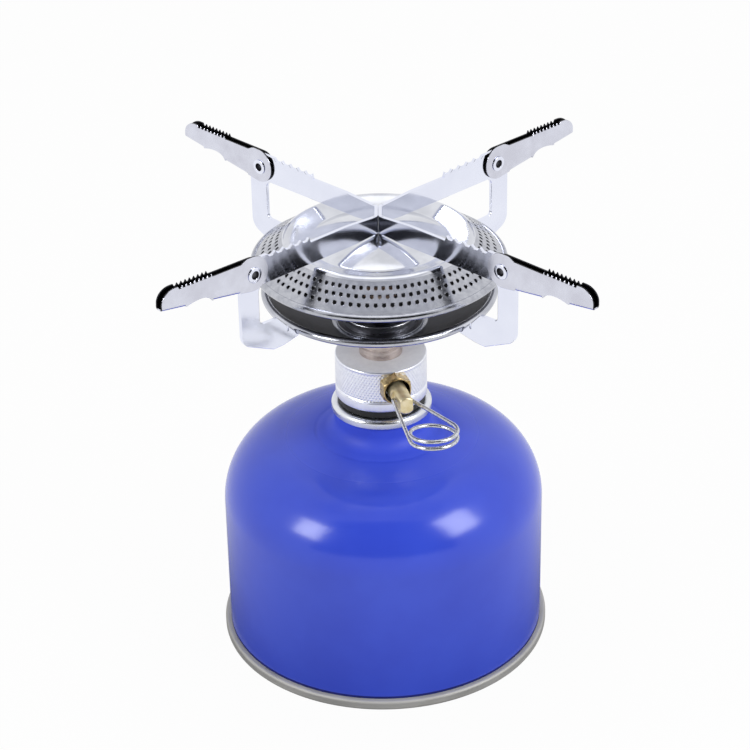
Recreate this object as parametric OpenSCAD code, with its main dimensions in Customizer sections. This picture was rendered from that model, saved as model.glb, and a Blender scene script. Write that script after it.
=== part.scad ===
// Camping gas stove: a burner with a folding pot stand, screwed on a valve canister.
// Millimetres, +Z up. The origin is the centre of the canister's foot and the front is -Y.

/* [Canister] */
// Outer radius of the can's straight wall
can_r = 53.1; // [45:0.1:60]
// Thickness of the can's drawn sheet
can_sheet = 0.6; // [0.4:0.05:1]
// Height of the straight wall's top above the floor
can_wall_h = 50; // [30:1:90]
// Radius of the bend from the wall to the shoulder
shoulder_r = 23; // [14:0.5:28]
// Rise of the shoulder towards the neck, in degrees
shoulder_slope = 11.5; // [6:0.5:18]
// How far the rolled seam stands out from the wall
seam_out = 1.9; // [1:0.1:3]
// Height of the rolled seam
seam_h = 3.4; // [2.5:0.1:6]
// Height of the domed bottom at its centre
dome_h = 9; // [4:0.5:16]
// Outer radius of the neck under the valve cup
neck_r = 15.6; // [12:0.1:18]
// Radius of the hollow round the neck
neck_fillet = 5; // [2:0.5:8]
// Height of the neck's straight part
neck_h = 4.5; // [2:0.1:8]

/* [Canister valve] */
// Thickness of the valve cup's sheet
cup_sheet = 0.6; // [0.4:0.05:1]
// Thickness of the gasket between the neck and the cup
cup_gasket_t = 1.15; // [0.5:0.05:2]
// Depth of the cup's floor under its rim
cup_depth = 6.3; // [4:0.1:9]
// Radius of the cup's rounded rim
cup_edge = 1.4; // [0.6:0.1:1.8]
// Outer radius of the threaded post, 7/16 inch across
thread_r = 5.55; // [4:0.05:7]
// Height of the threaded post above the cup's rim
post_rise = 4.25; // [2:0.05:8]
// Radius of the hole in the post's top
post_hole_r = 2.6; // [2:0.05:3]
// Thickness of the post's top wall
post_roof = 3; // [2:0.1:4]
// Radius of the valve stem
stem_r = 1.4; // [1:0.05:1.8]
// How far the stove holds the stem down
stem_press = 1.2; // [0.5:0.1:2]
// Thickness of the stem's gasket
stem_gasket_t = 1.2; // [0.6:0.1:2]
// Length of the valve's plastic housing
housing_h = 16; // [12:0.5:24]
// Wall of the valve's plastic housing
housing_wall = 1.1; // [0.6:0.1:1.6]
// Diameter of the valve spring's wire
spring_wire = 0.5; // [0.3:0.05:0.7]
// Number of turns of the valve spring
spring_turns = 6; // [3:1:9]

/* [Stove body] */
// Outer radius of the knurled body
body_r = 15; // [13:0.1:18]
// Height of the knurled body
body_h = 14.9; // [13:0.1:22]
// Thickness of the rubber ring between the cup and the body
seal_t = 2.45; // [1:0.05:4]
// Width of the rubber ring
seal_w = 4.4; // [2:0.1:5]
// Radius of the threaded collar under the body
collar_r = 9.7; // [8:0.1:12]
// Depth of the threaded collar under the body
collar_h = 1.8; // [1:0.1:4]
// Rounding of the body's lower edge
body_round = 1.6; // [0.5:0.1:2.5]
// Height of the smooth band at the foot of the body
band_h = 3.2; // [2:0.1:5]
// Depth of the tube's seat in the body's top
tube_seat = 0.8; // [0.4:0.1:1.2]
// Radius of the brass depressor pin
pin_r = 1; // [0.6:0.05:1.4]

/* [Control valve] */
// Direction of the valve to the right of the front, in degrees
valve_side = 16.3; // [0:0.1:40]
// Height of the spindle above the body's foot
valve_rise = 9.6; // [8:0.1:11]
// Radius of the spindle
spindle_r = 3; // [2.5:0.05:3.4]
// Distance of the spindle's end from the stove's axis
spindle_end = 28.3; // [26:0.1:36]
// Distance of the cross hole from the stove's axis
cross_a = 23.9; // [22.5:0.1:25]
// Slant of the cross hole, in degrees
cross_slant = 25; // [0:1:30]
// Distance between the spindle's two flats
flat_w = 4.2; // [3.6:0.1:5]
// Size of the gland nut across its flats
nut_af = 9.1; // [9:0.1:10]
// Distance of the gland nut's face from the stove's axis
nut_face = 18.4; // [16.4:0.1:19]
// Opening of the spindle's travel by its thread, for each turn
spindle_pitch = 0.5; // [0.3:0.05:1]
// Turns of the spindle from shut to fully open
spindle_turns = 3; // [1:0.5:4]

/* [Wire handle] */
// Diameter of the handle's wire
wire_d = 1.3; // [1:0.05:1.6]
// Distance of the loop's centre from the stove's axis
loop_a = 52; // [44:0.5:60]
// Offset of the loop's centre to the right
loop_b = 1.3; // [0:0.1:2]
// Radius of the loop along the wire's middle
loop_r = 7.3; // [5.5:0.1:9]
// Rise of the loop's coil from its first pass to its last
loop_rise = 3.6; // [2.4:0.1:5]
// Lift of the handle from flat at rest, in degrees
handle_lift = 6.5; // [0:0.5:15]

/* [Burner] */
// Outer radius of the brass mixing tube
tube_r = 7; // [6:0.1:8]
// Wall of the mixing tube
tube_wall = 1; // [0.6:0.1:1.5]
// Height of the dish's floor above the knurled body
dish_rise = 11.1; // [9:0.1:20]
// Radius of the tube's air holes
air_r = 2.2; // [1.5:0.1:2.6]
// Thickness of the dish's and the burner's sheet
sheet = 0.6; // [0.4:0.05:1]
// Radius of the dish to the middle of its rolled rim
dish_r = 36.7; // [32:0.1:44]
// Height of the dish's rolled rim above its floor
dish_h = 11.9; // [9:0.1:16]
// Radius of the dish's rolled rim
rim_bead = 1.3; // [0.8:0.05:1.8]
// Radius of the dish's flat floor
dish_floor_r = 15; // [14.6:0.1:18]
// Sag of the dish's wall below a straight cone
dish_sag = 1.9; // [0:0.1:2.5]
// Radius of the washer in the dish
washer_r = 14; // [13:0.1:14.4]
// Thickness of the washer in the dish
washer_t = 0.5; // [0.3:0.1:1]
// Radius of the round nut in the dish
dish_nut_r = 12.45; // [10:0.05:12.8]
// Height of the round nut in the dish
dish_nut_h = 3.2; // [2:0.1:5]
// Outer radius of the burner cap
cap_r = 41.05; // [36:0.05:48]
// Height of the cap's rolled rim above the dish's rim
cap_rise = 10.4; // [8:0.1:14]
// Radius of the cap's rolled rim
cap_bead = 1.15; // [0.8:0.05:1.5]
// Radius of the cap's crest
crest_r = 29.5; // [27:0.1:31]
// Height of the cap's crest above its rim
crest_h = 9; // [7:0.1:12]
// Radius of the cap's sunk middle plate
plate_r = 22.3; // [18:0.1:25]
// Depth of the plate's edge under the crest
plate_drop = 1.9; // [1:0.1:3]
// Rise of the plate at its middle
plate_dome = 3.4; // [1:0.1:3.6]
// Flame holes in each row
hole_count = 90; // [60:1:100]
// Diameter of the flame holes
hole_d = 1.3; // [0.8:0.05:1.5]
// Number of rows of flame holes
hole_rows = 3; // [1:1:3]
// Height of the pan's throat
throat_h = 7.2; // [5:0.1:10]

/* [Pot support] */
// Turn of the whole stand about the burner, in degrees
stand_turn = -0.7; // [-10:0.1:10]
// Angle of the strips' legs from the line across both strips, in degrees
leg_angle = 42.7; // [38:0.1:47]
// Thickness of the support's sheet
strip_t = 1.2; // [0.8:0.1:1.3]
// Length over which the two strips lie together at the middle
strip_flat = 5.9; // [4:0.1:8]
// Bend radius of the strips at the middle of the sheet
strip_bend = 1.5; // [1.2:0.1:3]
// Gap between the cap's rim and the posts
post_clear = 10.9; // [8:0.1:16]
// Distance of the pivot from the post's inner edge
pivot_in = 2; // [1:0.05:3]
// Height of the pivot above the cap's crest
pivot_rise = 6.4; // [6:0.1:10]
// Radius of the post's rounded top round the pivot
post_top_r = 5.35; // [5:0.05:7]
// Height of the strip's teeth above the pivot
strip_top = 4.6; // [3.5:0.1:4.8]
// Depth of the strip's lower edge below the pivot, at the post
strip_low = 5.5; // [4.5:0.1:6]
// Height of the strip's plain top edge above the pivot
strip_plain = 2.5; // [1.5:0.1:3.2]
// Height of the strips where they lie together
strip_mid_h = 6.2; // [5:0.1:6.4]
// Teeth on each inner arm
strip_teeth = 5; // [3:1:6]
// Pitch of the teeth on the inner arms
strip_pitch = 3.45; // [2:0.05:3.6]
// Rise of the foot's peak beside the dish above the dish's rim
foot_rise = 7.2; // [5:0.1:8]
// Depth of the foot below the dish's rim
foot_drop = 3.1; // [2:0.1:4]
// Distance of the foot's peak beyond its slot
foot_peak = 4.01742; // [3:0.00001:4.5]

/* [Folding arms] */
// Length of an arm from its pivot to its tip
arm_l = 35.4; // [33:0.1:46]
// Height of an arm's teeth above its pivot
arm_top = 5.9; // [5.4:0.1:7]
// Depth of the plain top edge between the teeth and the ear
arm_dip = 1; // [0.6:0.1:1.4]
// Height of the arm's ear above its teeth
ear_rise = 0.2; // [0:0.1:1]
// Width of an arm outside
arm_w = 3; // [2.9:0.1:5]
// Thickness of an arm's sheet
arm_sheet = 0.6; // [0.5:0.05:0.65]
// Lift of the four arms at rest: front right, back right, back left, front left
arm_lift = [-0.9, -0.5, 0.8, 1.4]; // [-4:0.1:12]
// Teeth on each arm
arm_teeth = 8; // [5:1:10]
// Pitch of the teeth on the arms
arm_pitch = 1.6; // [1.2:0.05:1.8]
// Depth of all the teeth
tooth_h = 0.9; // [0.4:0.1:1.2]
// Radius of the hollow rivets
rivet_r = 1.75; // [1.5:0.05:2]
// Radius of the rivets' heads
rivet_head_r = 2.5; // [2.2:0.05:3.2]
// Thickness of the rivets' heads
rivet_head_t = 0.4; // [0.3:0.05:0.8]

/* [Fits] */
// Clearance of parts that turn or slide in each other, on the radius
running = 0.06; // [0.03:0.01:0.09]
// Clearance of parts that are pressed or seated together
seated = 0.03; // [0.01:0.01:0.06]
// Gap between sheet parts that are folded over each other
fold_gap = 0.3; // [0.2:0.05:0.5]

/* [Hidden] */
$fn = 96;

// Canister heights, from the floor up
seam_r = can_r + seam_out;
bend_c = [can_r - shoulder_r, can_wall_h];
slope_start = bend_c + shoulder_r * [sin(shoulder_slope), cos(shoulder_slope)];
fillet_r = neck_r + neck_fillet;
fillet_z = slope_start[1] + (slope_start[0] - fillet_r) * tan(shoulder_slope)
  + neck_fillet / cos(shoulder_slope);
neck_top = fillet_z + neck_h;
cup_top = neck_top + cup_gasket_t + cup_sheet;
cup_floor = cup_top - cup_depth;
cup_r = neck_r + fold_gap + cup_sheet;
cup_skirt = neck_top - 1.3;
cup_in_r = neck_r - can_sheet - fold_gap - cup_sheet - 0.6;
post_top = cup_top + post_rise;
post_chamfer = 0.6;
valve_roof = post_top - post_roof;
valve_room_r = thread_r - 1.15;
housing_r = valve_room_r - seated;
housing_top = valve_roof - stem_gasket_t;
housing_floor = housing_top - housing_h;
housing_base = 1.2;
stem_flange_r = housing_r - housing_wall - 0.3;
stem_flange_t = 2;
stem_flange_top = housing_top - stem_press - seated;
stem_top = valve_roof + 1;
spring_r = stem_flange_r - spring_wire / 2 - 0.1;
spring_low = housing_floor + housing_base + spring_wire / 2 + seated;
spring_high = stem_flange_top - stem_flange_t - spring_wire / 2 - seated;

// Stove heights
body_z = cup_top + seal_t;
body_top = body_z + body_h;
thread_bore = thread_r + running;
socket_top = post_top + 0.6;
valve_z = body_z + valve_rise;
valve_az = valve_side - 90;
seat_z = body_top - tube_seat;

// Control valve, measured outwards from the stove's axis
seat_a = 4.4;
chamber_a = 5.4;
collar_a = 6;
collar_t = 1.6;
gland_a = collar_a + collar_t + spindle_turns * spindle_pitch + 0.3;
nut_back = sqrt(pow(body_r, 2) - pow(nut_af / sqrt(3), 2));
gland_r = spindle_r + 1.4;
spindle_collar_r = spindle_r + 0.4;
chamber_r = spindle_collar_r + 0.1;
recess_r = spindle_r + 1.1;
recess_a = nut_back + 0.6;
groove_a = gland_a + 1;
ring_r = 0.53;
groove_w = 2 * ring_r + 0.2;
groove_r = spindle_r - 2 * ring_r;
needle_r = 0.8;
cross_hole_r = wire_d / 2 + running;

// Wire handle, in the plane of the spindle's axis and the cross hole
wire_sides = 10;
slant = [sin(cross_slant), cos(cross_slant)];
bend_reach = 1.1 * wire_d;
leg_t = flat_w / 2 / cos(cross_slant) + 0.3 + 0.45 * bend_reach;

// Burner heights
dish_z = body_top + dish_rise;
dish_top = dish_z + sheet;
rim_z = dish_top + dish_h - sheet;
washer_top = dish_top + washer_t;
dish_nut_top = washer_top + dish_nut_h;
throat_z = dish_nut_top + throat_h;
cap_z = rim_z + cap_rise;
crest_z = cap_z + crest_h;
plate_z = crest_z - plate_drop;
cap_bead_r = cap_r - cap_bead;
hole_slope = atan2(crest_h - cap_bead, cap_bead_r - crest_r);

// Pot support
post_in = cap_r + post_clear;
pivot_r = post_in + pivot_in;
pivot_z = crest_z + pivot_rise;
post_out = pivot_r + post_top_r;
strip_mid = strip_t / 2 + seated;
strip_turn = 90 - leg_angle;
strip_corner = strip_flat / 2 + strip_bend * tan(strip_turn / 2);
strip_off = strip_corner * cos(leg_angle) - strip_mid * sin(leg_angle);
strip_start = strip_mid * cos(leg_angle) + strip_corner * sin(leg_angle) + strip_bend * tan(strip_turn / 2);
strip_high_z = pivot_z + strip_plain - 0.7;
strip_low_z = strip_high_z - strip_mid_h;
rim_x = sqrt(pow(dish_r, 2) - pow(strip_off, 2));
rivet_l = arm_w + fold_gap / 3 + 2 * rivet_head_t;

// Points of a round stretch about c, from angle a0 to a1, in n steps
function arc(c, r, a0, a1, n) =
  [for (i = [0:n]) c + r * [cos(a0 + (a1 - a0) * i / n), sin(a0 + (a1 - a0) * i / n)]];

// Points of a curve from p to q that leans towards c, without its first point
function lean(p, c, q, n) =
  [for (i = [1:n]) let (k = i / n) (1 - k) * (1 - k) * p + 2 * k * (1 - k) * c + k * k * q];

function flip(list) = [for (i = [len(list) - 1:-1:0]) list[i]];
function unit(v) = v / norm(v);

// Path directions at each point, from its two neighbours
function tangents(path) = [for (i = [0:len(path) - 1])
  unit(path[min(i + 1, len(path) - 1)] - path[max(i - 1, 0)])];

// Tube of radius r along a path that never runs along the axis up
module tube(path, r, sides, up) {
  dirs = tangents(path);
  rings = len(path);
  points = [for (i = [0:rings - 1])
    let (side = unit(cross(dirs[i], up)), top = cross(side, dirs[i]))
      for (k = [0:sides - 1])
        path[i] + r * (cos(360 * k / sides) * side + sin(360 * k / sides) * top)];
  walls = [for (i = [0:rings - 2]) for (k = [0:sides - 1])
    let (a = i * sides + k, b = i * sides + (k + 1) % sides)
      each [[a, b, a + sides], [b, b + sides, a + sides]]];
  first = [for (k = [1:sides - 2]) [0, k + 1, k]];
  last = [for (k = [1:sides - 2]) (rings - 1) * sides * [1, 1, 1] + [0, k, k + 1]];
  polyhedron(points, concat(walls, first, last));
}

// Turned part from points of radius and height
module turned(points) {
  rotate_extrude() polygon(points);
}

// Frame of the control valve: Z runs outwards along the spindle, Y to the right
module valve_frame() {
  translate([0, 0, valve_z]) rotate([0, 0, valve_az]) rotate([0, 90, 0]) children();
}

// Frame of one arm: X runs outwards, Z up, and Y = 0 is the middle of its sheet
module arm_frame(az, side) {
  rotate([0, 0, az]) translate([0, side * strip_off, 0]) children();
}

// Profile in X and Z of thickness t about Y = y
module upright(t, y = 0) {
  translate([0, y + t / 2, 0]) rotate([90, 0, 0]) linear_extrude(t) children();
}

// Canister pieces

// The can's outline, set inwards by off
function can_line(off, z0) = concat(
  [[can_r - off, z0]],
  arc(bend_c, shoulder_r - off, 0, 90 - shoulder_slope, 14),
  arc([fillet_r, fillet_z], neck_fillet + off, 270 - shoulder_slope, 180, 8),
  [[neck_r - off, neck_top]]);

module canister_shell() {
  color("mediumblue")
    turned(concat(can_line(0, seam_h), flip(can_line(can_sheet, seam_h))));
}

module canister_base() {
  rise = can_sheet + 0.6;
  dome = [for (i = [0:8]) [(can_r - 3.4) * i / 8, dome_h * (1 - pow(i / 8, 2)) + rise]];
  under = [for (p = flip(dome)) p - [0, can_sheet]];
  color("lightslategray") {
    turned(concat(
      [[can_r - can_sheet - 2.6, 0], [seam_r - 1, 0]],
      arc([seam_r - 1, 1], 1, -90, 0, 4),
      [[seam_r, seam_h - 0.9]],
      arc([seam_r - 0.9, seam_h - 0.9], 0.9, 0, 90, 4),
      [[can_r + seated, seam_h], [can_r + seated, seam_h - seated],
       [can_r - can_sheet - 1.4, seam_h - seated],
       [can_r - can_sheet - 2.6, rise + 0.4]],
      flip(dome),
      flip(under)));
  }
}

module valve_cup() {
  out_r = cup_r;
  wall_r = cup_in_r + cup_sheet;
  lip_r = out_r - cup_sheet;
  inner_edge = cup_edge * 0.7;
  color("silver") turned(concat(
    [[out_r, cup_skirt]],
    arc([out_r - cup_edge, cup_top - cup_edge], cup_edge, 0, 90, 5),
    arc([cup_in_r + inner_edge, cup_top - inner_edge], inner_edge, 90, 180, 4),
    [[cup_in_r, cup_floor], [thread_r, cup_floor], [thread_r, post_top - post_chamfer],
     [thread_r - post_chamfer, post_top], [post_hole_r, post_top], [post_hole_r, valve_roof],
     [valve_room_r, valve_roof], [valve_room_r, cup_floor - cup_sheet],
     [wall_r, cup_floor - cup_sheet], [wall_r, cup_top - cup_sheet],
     [out_r - cup_edge, cup_top - cup_sheet], [lip_r, cup_top - cup_edge],
     [lip_r, cup_skirt]]));
}

module cup_gasket() {
  color("black") turned([
    [cup_in_r + cup_sheet + seated, neck_top], [neck_r - 0.4, neck_top],
    [neck_r - 0.4, neck_top + cup_gasket_t - 0.4],
    [neck_r - 0.8, neck_top + cup_gasket_t],
    [cup_in_r + cup_sheet + seated, neck_top + cup_gasket_t]]);
}

module valve_housing() {
  color("whitesmoke") difference() {
    translate([0, 0, housing_floor]) cylinder(r = housing_r, h = housing_h);
    translate([0, 0, housing_floor + housing_base])
      cylinder(r = housing_r - housing_wall, h = housing_h);
    translate([0, 0, housing_floor - 1]) cylinder(r = pin_r, h = housing_base + 2);
  }
}

module stem_gasket() {
  color("black") translate([0, 0, housing_top]) difference() {
    cylinder(r = housing_r, h = stem_gasket_t);
    translate([0, 0, -1]) cylinder(r = stem_r + running, h = stem_gasket_t + 2);
  }
}

module valve_stem() {
  color("lightgray") difference() {
    union() {
      translate([0, 0, stem_flange_top]) cylinder(r = stem_r, h = stem_top - stem_flange_top);
      translate([0, 0, stem_flange_top - stem_flange_t])
        cylinder(r = stem_flange_r, h = stem_flange_t);
    }
    translate([0, 0, valve_roof]) cylinder(r = stem_r / 2.5, h = stem_top);
  }
}

module valve_spring() {
  steps = 10 * spring_turns;
  path = [for (i = [0:steps]) let (k = i / steps)
    [spring_r * cos(360 * spring_turns * k), spring_r * sin(360 * spring_turns * k),
     spring_low + (spring_high - spring_low) * k]];
  gap = (spring_high - spring_low) / spring_turns - spring_wire;
  echo(valve_spring_least_gap = gap);
  color("gray") tube(path, spring_wire / 2, 6, [0, 0, 1]);
}

// Stove body pieces

module seal_ring() {
  color([0.1, 0.1, 0.1]) translate([0, 0, cup_top + running]) difference() {
    cylinder(r = collar_r + fold_gap + seal_w, h = seal_t - 2 * running);
    translate([0, 0, -1]) cylinder(r = collar_r + fold_gap, h = seal_t + 2);
  }
}

module valve_body() {
  groove = 0.45;
  edge = 0.5;
  color("gainsboro") difference() {
    turned(concat(
      [[0, body_z - collar_h], [collar_r, body_z - collar_h], [collar_r, body_z]],
      arc([body_r - body_round, body_z + body_round], body_round, -90, 0, 5),
      [[body_r, body_z + band_h], [body_r - groove, body_z + band_h + groove / 2],
       [body_r, body_z + band_h + groove], [body_r, body_top - edge],
       [body_r - edge, body_top], [0, body_top]]));
    translate([0, 0, body_z - collar_h - 1])
      cylinder(r = thread_bore, h = socket_top - body_z + collar_h + 1);
    translate([0, 0, socket_top - 1]) cylinder(r = pin_r + seated, h = valve_rise / 2);
    translate([0, 0, seat_z]) cylinder(r = tube_r + seated, h = body_h);
    translate([0, 0, valve_z]) cylinder(r = needle_r, h = body_h);
    translate([0, 0, seat_z - jet_sink]) cylinder(r = jet_r + seated, h = body_h);
    rotate([0, 0, valve_az]) translate([chamber_a, 0, socket_top - 1])
      cylinder(r = needle_r, h = valve_z - socket_top + 1);
    valve_frame() {
      cylinder(r = needle_r, h = body_r);
      translate([0, 0, seat_a]) cylinder(r = spindle_r, h = body_r);
      translate([0, 0, chamber_a]) cylinder(r = chamber_r, h = body_r);
      translate([0, 0, gland_a]) cylinder(r = gland_r + seated, h = body_r);
      translate([0, 0, nut_back - seated]) cylinder(r = nut_af / sqrt(3) + fold_gap, h = body_r);
    }
  }
}

module depressor_pin() {
  color("goldenrod") translate([0, 0, stem_top + seated])
    cylinder(r = pin_r, h = socket_top + valve_rise / 2 - 1.2 - stem_top);
}

// The jet is screwed into the body's top, inside the tube
jet_r = 2.2;
jet_sink = 1.6;
jet_head_h = 3;
jet_nose_h = 2;
jet_hole_r = 0.25;

module jet_outline() {
  translate([0, 0, seat_z - jet_sink]) cylinder(r = jet_r, h = jet_sink + 1);
  translate([0, 0, seat_z]) cylinder(r = jet_r * 1.6, h = jet_head_h, $fn = 6);
  translate([0, 0, seat_z + jet_head_h]) cylinder(r1 = jet_r, r2 = jet_r / 2, h = jet_nose_h);
}

module gas_jet() {
  color("gold") difference() {
    jet_outline();
    translate([0, 0, seat_z - jet_sink - 1]) cylinder(r = needle_r, h = jet_sink + jet_head_h + 1);
    translate([0, 0, seat_z]) cylinder(r = jet_hole_r, h = jet_head_h + jet_nose_h + 1);
  }
}

module gland_nut() {
  corner = nut_af / sqrt(3);
  color("darkgoldenrod") valve_frame() difference() {
    union() {
      intersection() {
        translate([0, 0, nut_back]) rotate([0, 0, 30])
          cylinder(r = corner, h = nut_face - nut_back, $fn = 6);
        translate([0, 0, nut_back])
          cylinder(r1 = corner + nut_face - nut_back - 0.6, r2 = nut_af / 2, h = nut_face - nut_back);
      }
      translate([0, 0, gland_a]) cylinder(r = gland_r, h = nut_back - gland_a + 0.5);
    }
    translate([0, 0, gland_a - 1]) cylinder(r = spindle_r + running, h = body_r);
    translate([0, 0, recess_a]) cylinder(r = recess_r, h = body_r);
  }
}

module spindle() {
  flats_a = cross_a - leg_t * slant[0] - wire_d - 0.4;
  color("goldenrod") valve_frame() difference() {
    union() {
      translate([0, 0, seat_a - 1]) cylinder(r1 = 0.25, r2 = 0.7, h = 1.6);
      translate([0, 0, seat_a + 0.5]) cylinder(r = spindle_r - 0.9, h = collar_a - seat_a);
      translate([0, 0, collar_a]) cylinder(r = spindle_r, h = spindle_end - collar_a - 0.5);
      translate([0, 0, collar_a]) cylinder(r = spindle_collar_r, h = collar_t);
      translate([0, 0, spindle_end - 0.5])
        cylinder(r1 = spindle_r, r2 = spindle_r - 0.5, h = 0.5);
    }
    translate([0, 0, groove_a]) difference() {
      cylinder(r = spindle_r + 1, h = groove_w);
      translate([0, 0, -1]) cylinder(r = groove_r, h = groove_w + 2);
    }
    for (s = [-1, 1])
      translate([-2 * spindle_r, s > 0 ? flat_w / 2 : -flat_w / 2 - spindle_r, flats_a])
        cube([4 * spindle_r, spindle_r, spindle_end]);
    translate([0, 0, cross_a]) rotate([-90 + cross_slant, 0, 0])
      cylinder(r = cross_hole_r, h = 6 * spindle_r, center = true);
  }
}

module spindle_o_ring() {
  color([0.12, 0.12, 0.12]) valve_frame() translate([0, 0, groove_a + groove_w / 2])
    rotate_extrude() translate([groove_r + ring_r + 0.01, 0]) circle(r = ring_r - 0.03);
}

// Point of the handle: outwards along the spindle, to the right, and up
function wire_pt(p, up) = [-up, p[1], p[0]];

// Point where a line from p touches the loop, on its right side for s = 1
function touch(p, s) =
  let (d = [loop_a, loop_b] - p, far = norm(d), lean_deg = asin(loop_r / far) * s,
       a = atan2(d[1], d[0]) + lean_deg, reach = sqrt(far * far - loop_r * loop_r))
    p + reach * [cos(a), sin(a)];

module wire_handle() {
  centre = [cross_a, 0];
  left = centre - leg_t * slant;
  right = centre + leg_t * slant;
  left_end = touch(left, -1);
  right_end = touch(right, 1);
  left_leg = unit(left_end - left);
  right_leg = unit(right_end - right);
  a_right = atan2(right_end[1] - loop_b, right_end[0] - loop_a);
  a_left = atan2(left_end[1] - loop_b, left_end[0] - loop_a);
  turn = a_right - a_left + 360;
  coil = [for (i = [0:40]) let (k = i / 40, a = a_right - turn * k)
    wire_pt([loop_a, loop_b] + loop_r * [cos(a), sin(a)], loop_rise * (0.5 - k))];
  right_bend = lean(right - bend_reach * slant, right, right + bend_reach * right_leg, 6);
  left_bend = lean(left + bend_reach * left_leg, left, left + bend_reach * slant, 8);
  pin = wire_d / 4;
  path = concat(
    [wire_pt(centre + pin * slant, 0), wire_pt(right - bend_reach * slant, 0)],
    [for (p = right_bend) wire_pt(p, 0)],
    coil,
    [wire_pt(left + bend_reach * left_leg, 0)],
    [for (p = left_bend) wire_pt(p, 0)],
    [wire_pt(centre - pin * slant, 0)]);
  echo(handle_least_gap = loop_rise * 360 / turn - wire_d);
  color("lightgray") valve_frame()
    translate([0, 0, cross_a]) rotate(a = -handle_lift, v = [0, slant[1], slant[0]])
      translate([0, 0, -cross_a]) tube(path, wire_d / 2, wire_sides, [1, 0, 0]);
}

// Burner pieces

module mixing_tube() {
  flange_r = tube_r + 2.5;
  flange_t = 1.5;
  air_z = dish_z - flange_t - air_r - 0.3;
  color("darkgoldenrod") difference() {
    union() {
      translate([0, 0, seat_z + seated])
        cylinder(r = tube_r, h = throat_z - seat_z - seated - 1.2);
      translate([0, 0, dish_z - flange_t]) cylinder(r = flange_r, h = flange_t);
    }
    translate([0, 0, seat_z - 1]) cylinder(r = tube_r - tube_wall, h = throat_z);
    for (a = [0, 90])
      translate([0, 0, air_z]) rotate([90, 0, a])
        cylinder(r = air_r, h = 4 * tube_r, center = true);
  }
}

module reflector_dish() {
  wall_r = dish_r - rim_bead + sheet / 2;
  foot = [dish_floor_r, dish_z];
  top = [wall_r, rim_z];
  belly = (foot + top) / 2 + dish_sag * [0.58, -1];
  inside = [-sheet / 2, sheet * 0.9];
  color("dimgray") rotate_extrude() {
    polygon(concat(
      [[tube_r + seated, dish_z], foot],
      lean(foot, belly, top, 10),
      [top - [sheet, 0]],
      flip(lean(foot + inside, belly + inside, top - [sheet, 0], 10)),
      [[dish_floor_r - sheet / 4, dish_top], [tube_r + seated, dish_top]]));
    translate([dish_r, rim_z]) circle(r = rim_bead);
  }
}

module dish_washer() {
  color("silver") translate([0, 0, dish_top]) difference() {
    cylinder(r = washer_r, h = washer_t);
    translate([0, 0, -1]) cylinder(r = tube_r + seated, h = washer_t + 2);
  }
}

module dish_nut() {
  edge = 0.6;
  color("silver") turned([
    [tube_r + seated, washer_top], [dish_nut_r, washer_top], [dish_nut_r, dish_nut_top - edge],
    [dish_nut_r - edge, dish_nut_top], [tube_r + seated, dish_nut_top]]);
}

module burner_pan() {
  bore = tube_r + seated;
  edge_r = cap_bead_r - cap_bead - 0.1;
  floor_r = tube_r + 5;
  color([0.25, 0.25, 0.26]) turned([
    [bore, dish_nut_top], [bore + 1.2, dish_nut_top], [bore + 1.2, throat_z - sheet],
    [floor_r, throat_z - sheet], [edge_r - 2.5, cap_z - sheet], [edge_r, cap_z - sheet],
    [edge_r, cap_z], [edge_r - 2.6, cap_z], [floor_r - 0.1, throat_z], [bore, throat_z]]);
}

// Top line of the cap from its rim to its middle
function cap_line(low) = concat(
  [[cap_bead_r - 0.2, cap_z + cap_bead - 0.2 - low]],
  [[crest_r + 1, crest_z - 0.7 - low], [crest_r + 0.4, crest_z - 0.15 - low],
   [crest_r - 0.3, crest_z - low], [crest_r - 1.1, crest_z - 0.2 - low]],
  [for (i = [8:-1:0]) [plate_r * i / 8, plate_z + plate_dome * (1 - pow(i / 8, 2)) - low]]);

module burner_cap() {
  row_r = [for (i = [0:hole_rows - 1]) crest_r + 3 + 2.25 * i];
  band_top = [crest_r + 1, crest_z - 0.7];
  band_foot = [cap_bead_r - 0.2, cap_z + cap_bead - 0.2];
  fall = (band_top[1] - band_foot[1]) / (band_foot[0] - band_top[0]);
  color("silver") difference() {
    rotate_extrude() {
      polygon(concat(cap_line(0), flip(cap_line(sheet))));
      translate([cap_bead_r, cap_z]) circle(r = cap_bead);
    }
    for (row = [0:hole_rows - 1])
      for (i = [0:hole_count - 1])
        rotate([0, 0, (i + 0.5 * (row % 2)) * 360 / hole_count])
          translate([row_r[row], 0, band_top[1] - (row_r[row] - band_top[0]) * fall])
            rotate([0, atan(fall), 0])
              cylinder(d = hole_d, h = 6 * sheet, center = true, $fn = 16);
  }
}

// Pot support pieces

// Saw edge of count teeth from x0 towards the middle, along a line that falls by slope
function teeth(x0, z0, count, pitch, slope) = [for (i = [0:count - 1])
  each [[x0 - pitch * (i + 0.1), z0 - slope * pitch * i],
        [x0 - pitch * (i + 0.35), z0 - slope * pitch * (i + 0.35) - tooth_h],
        [x0 - pitch * (i + 0.75), z0 - slope * pitch * (i + 0.75) - tooth_h]]];

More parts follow.
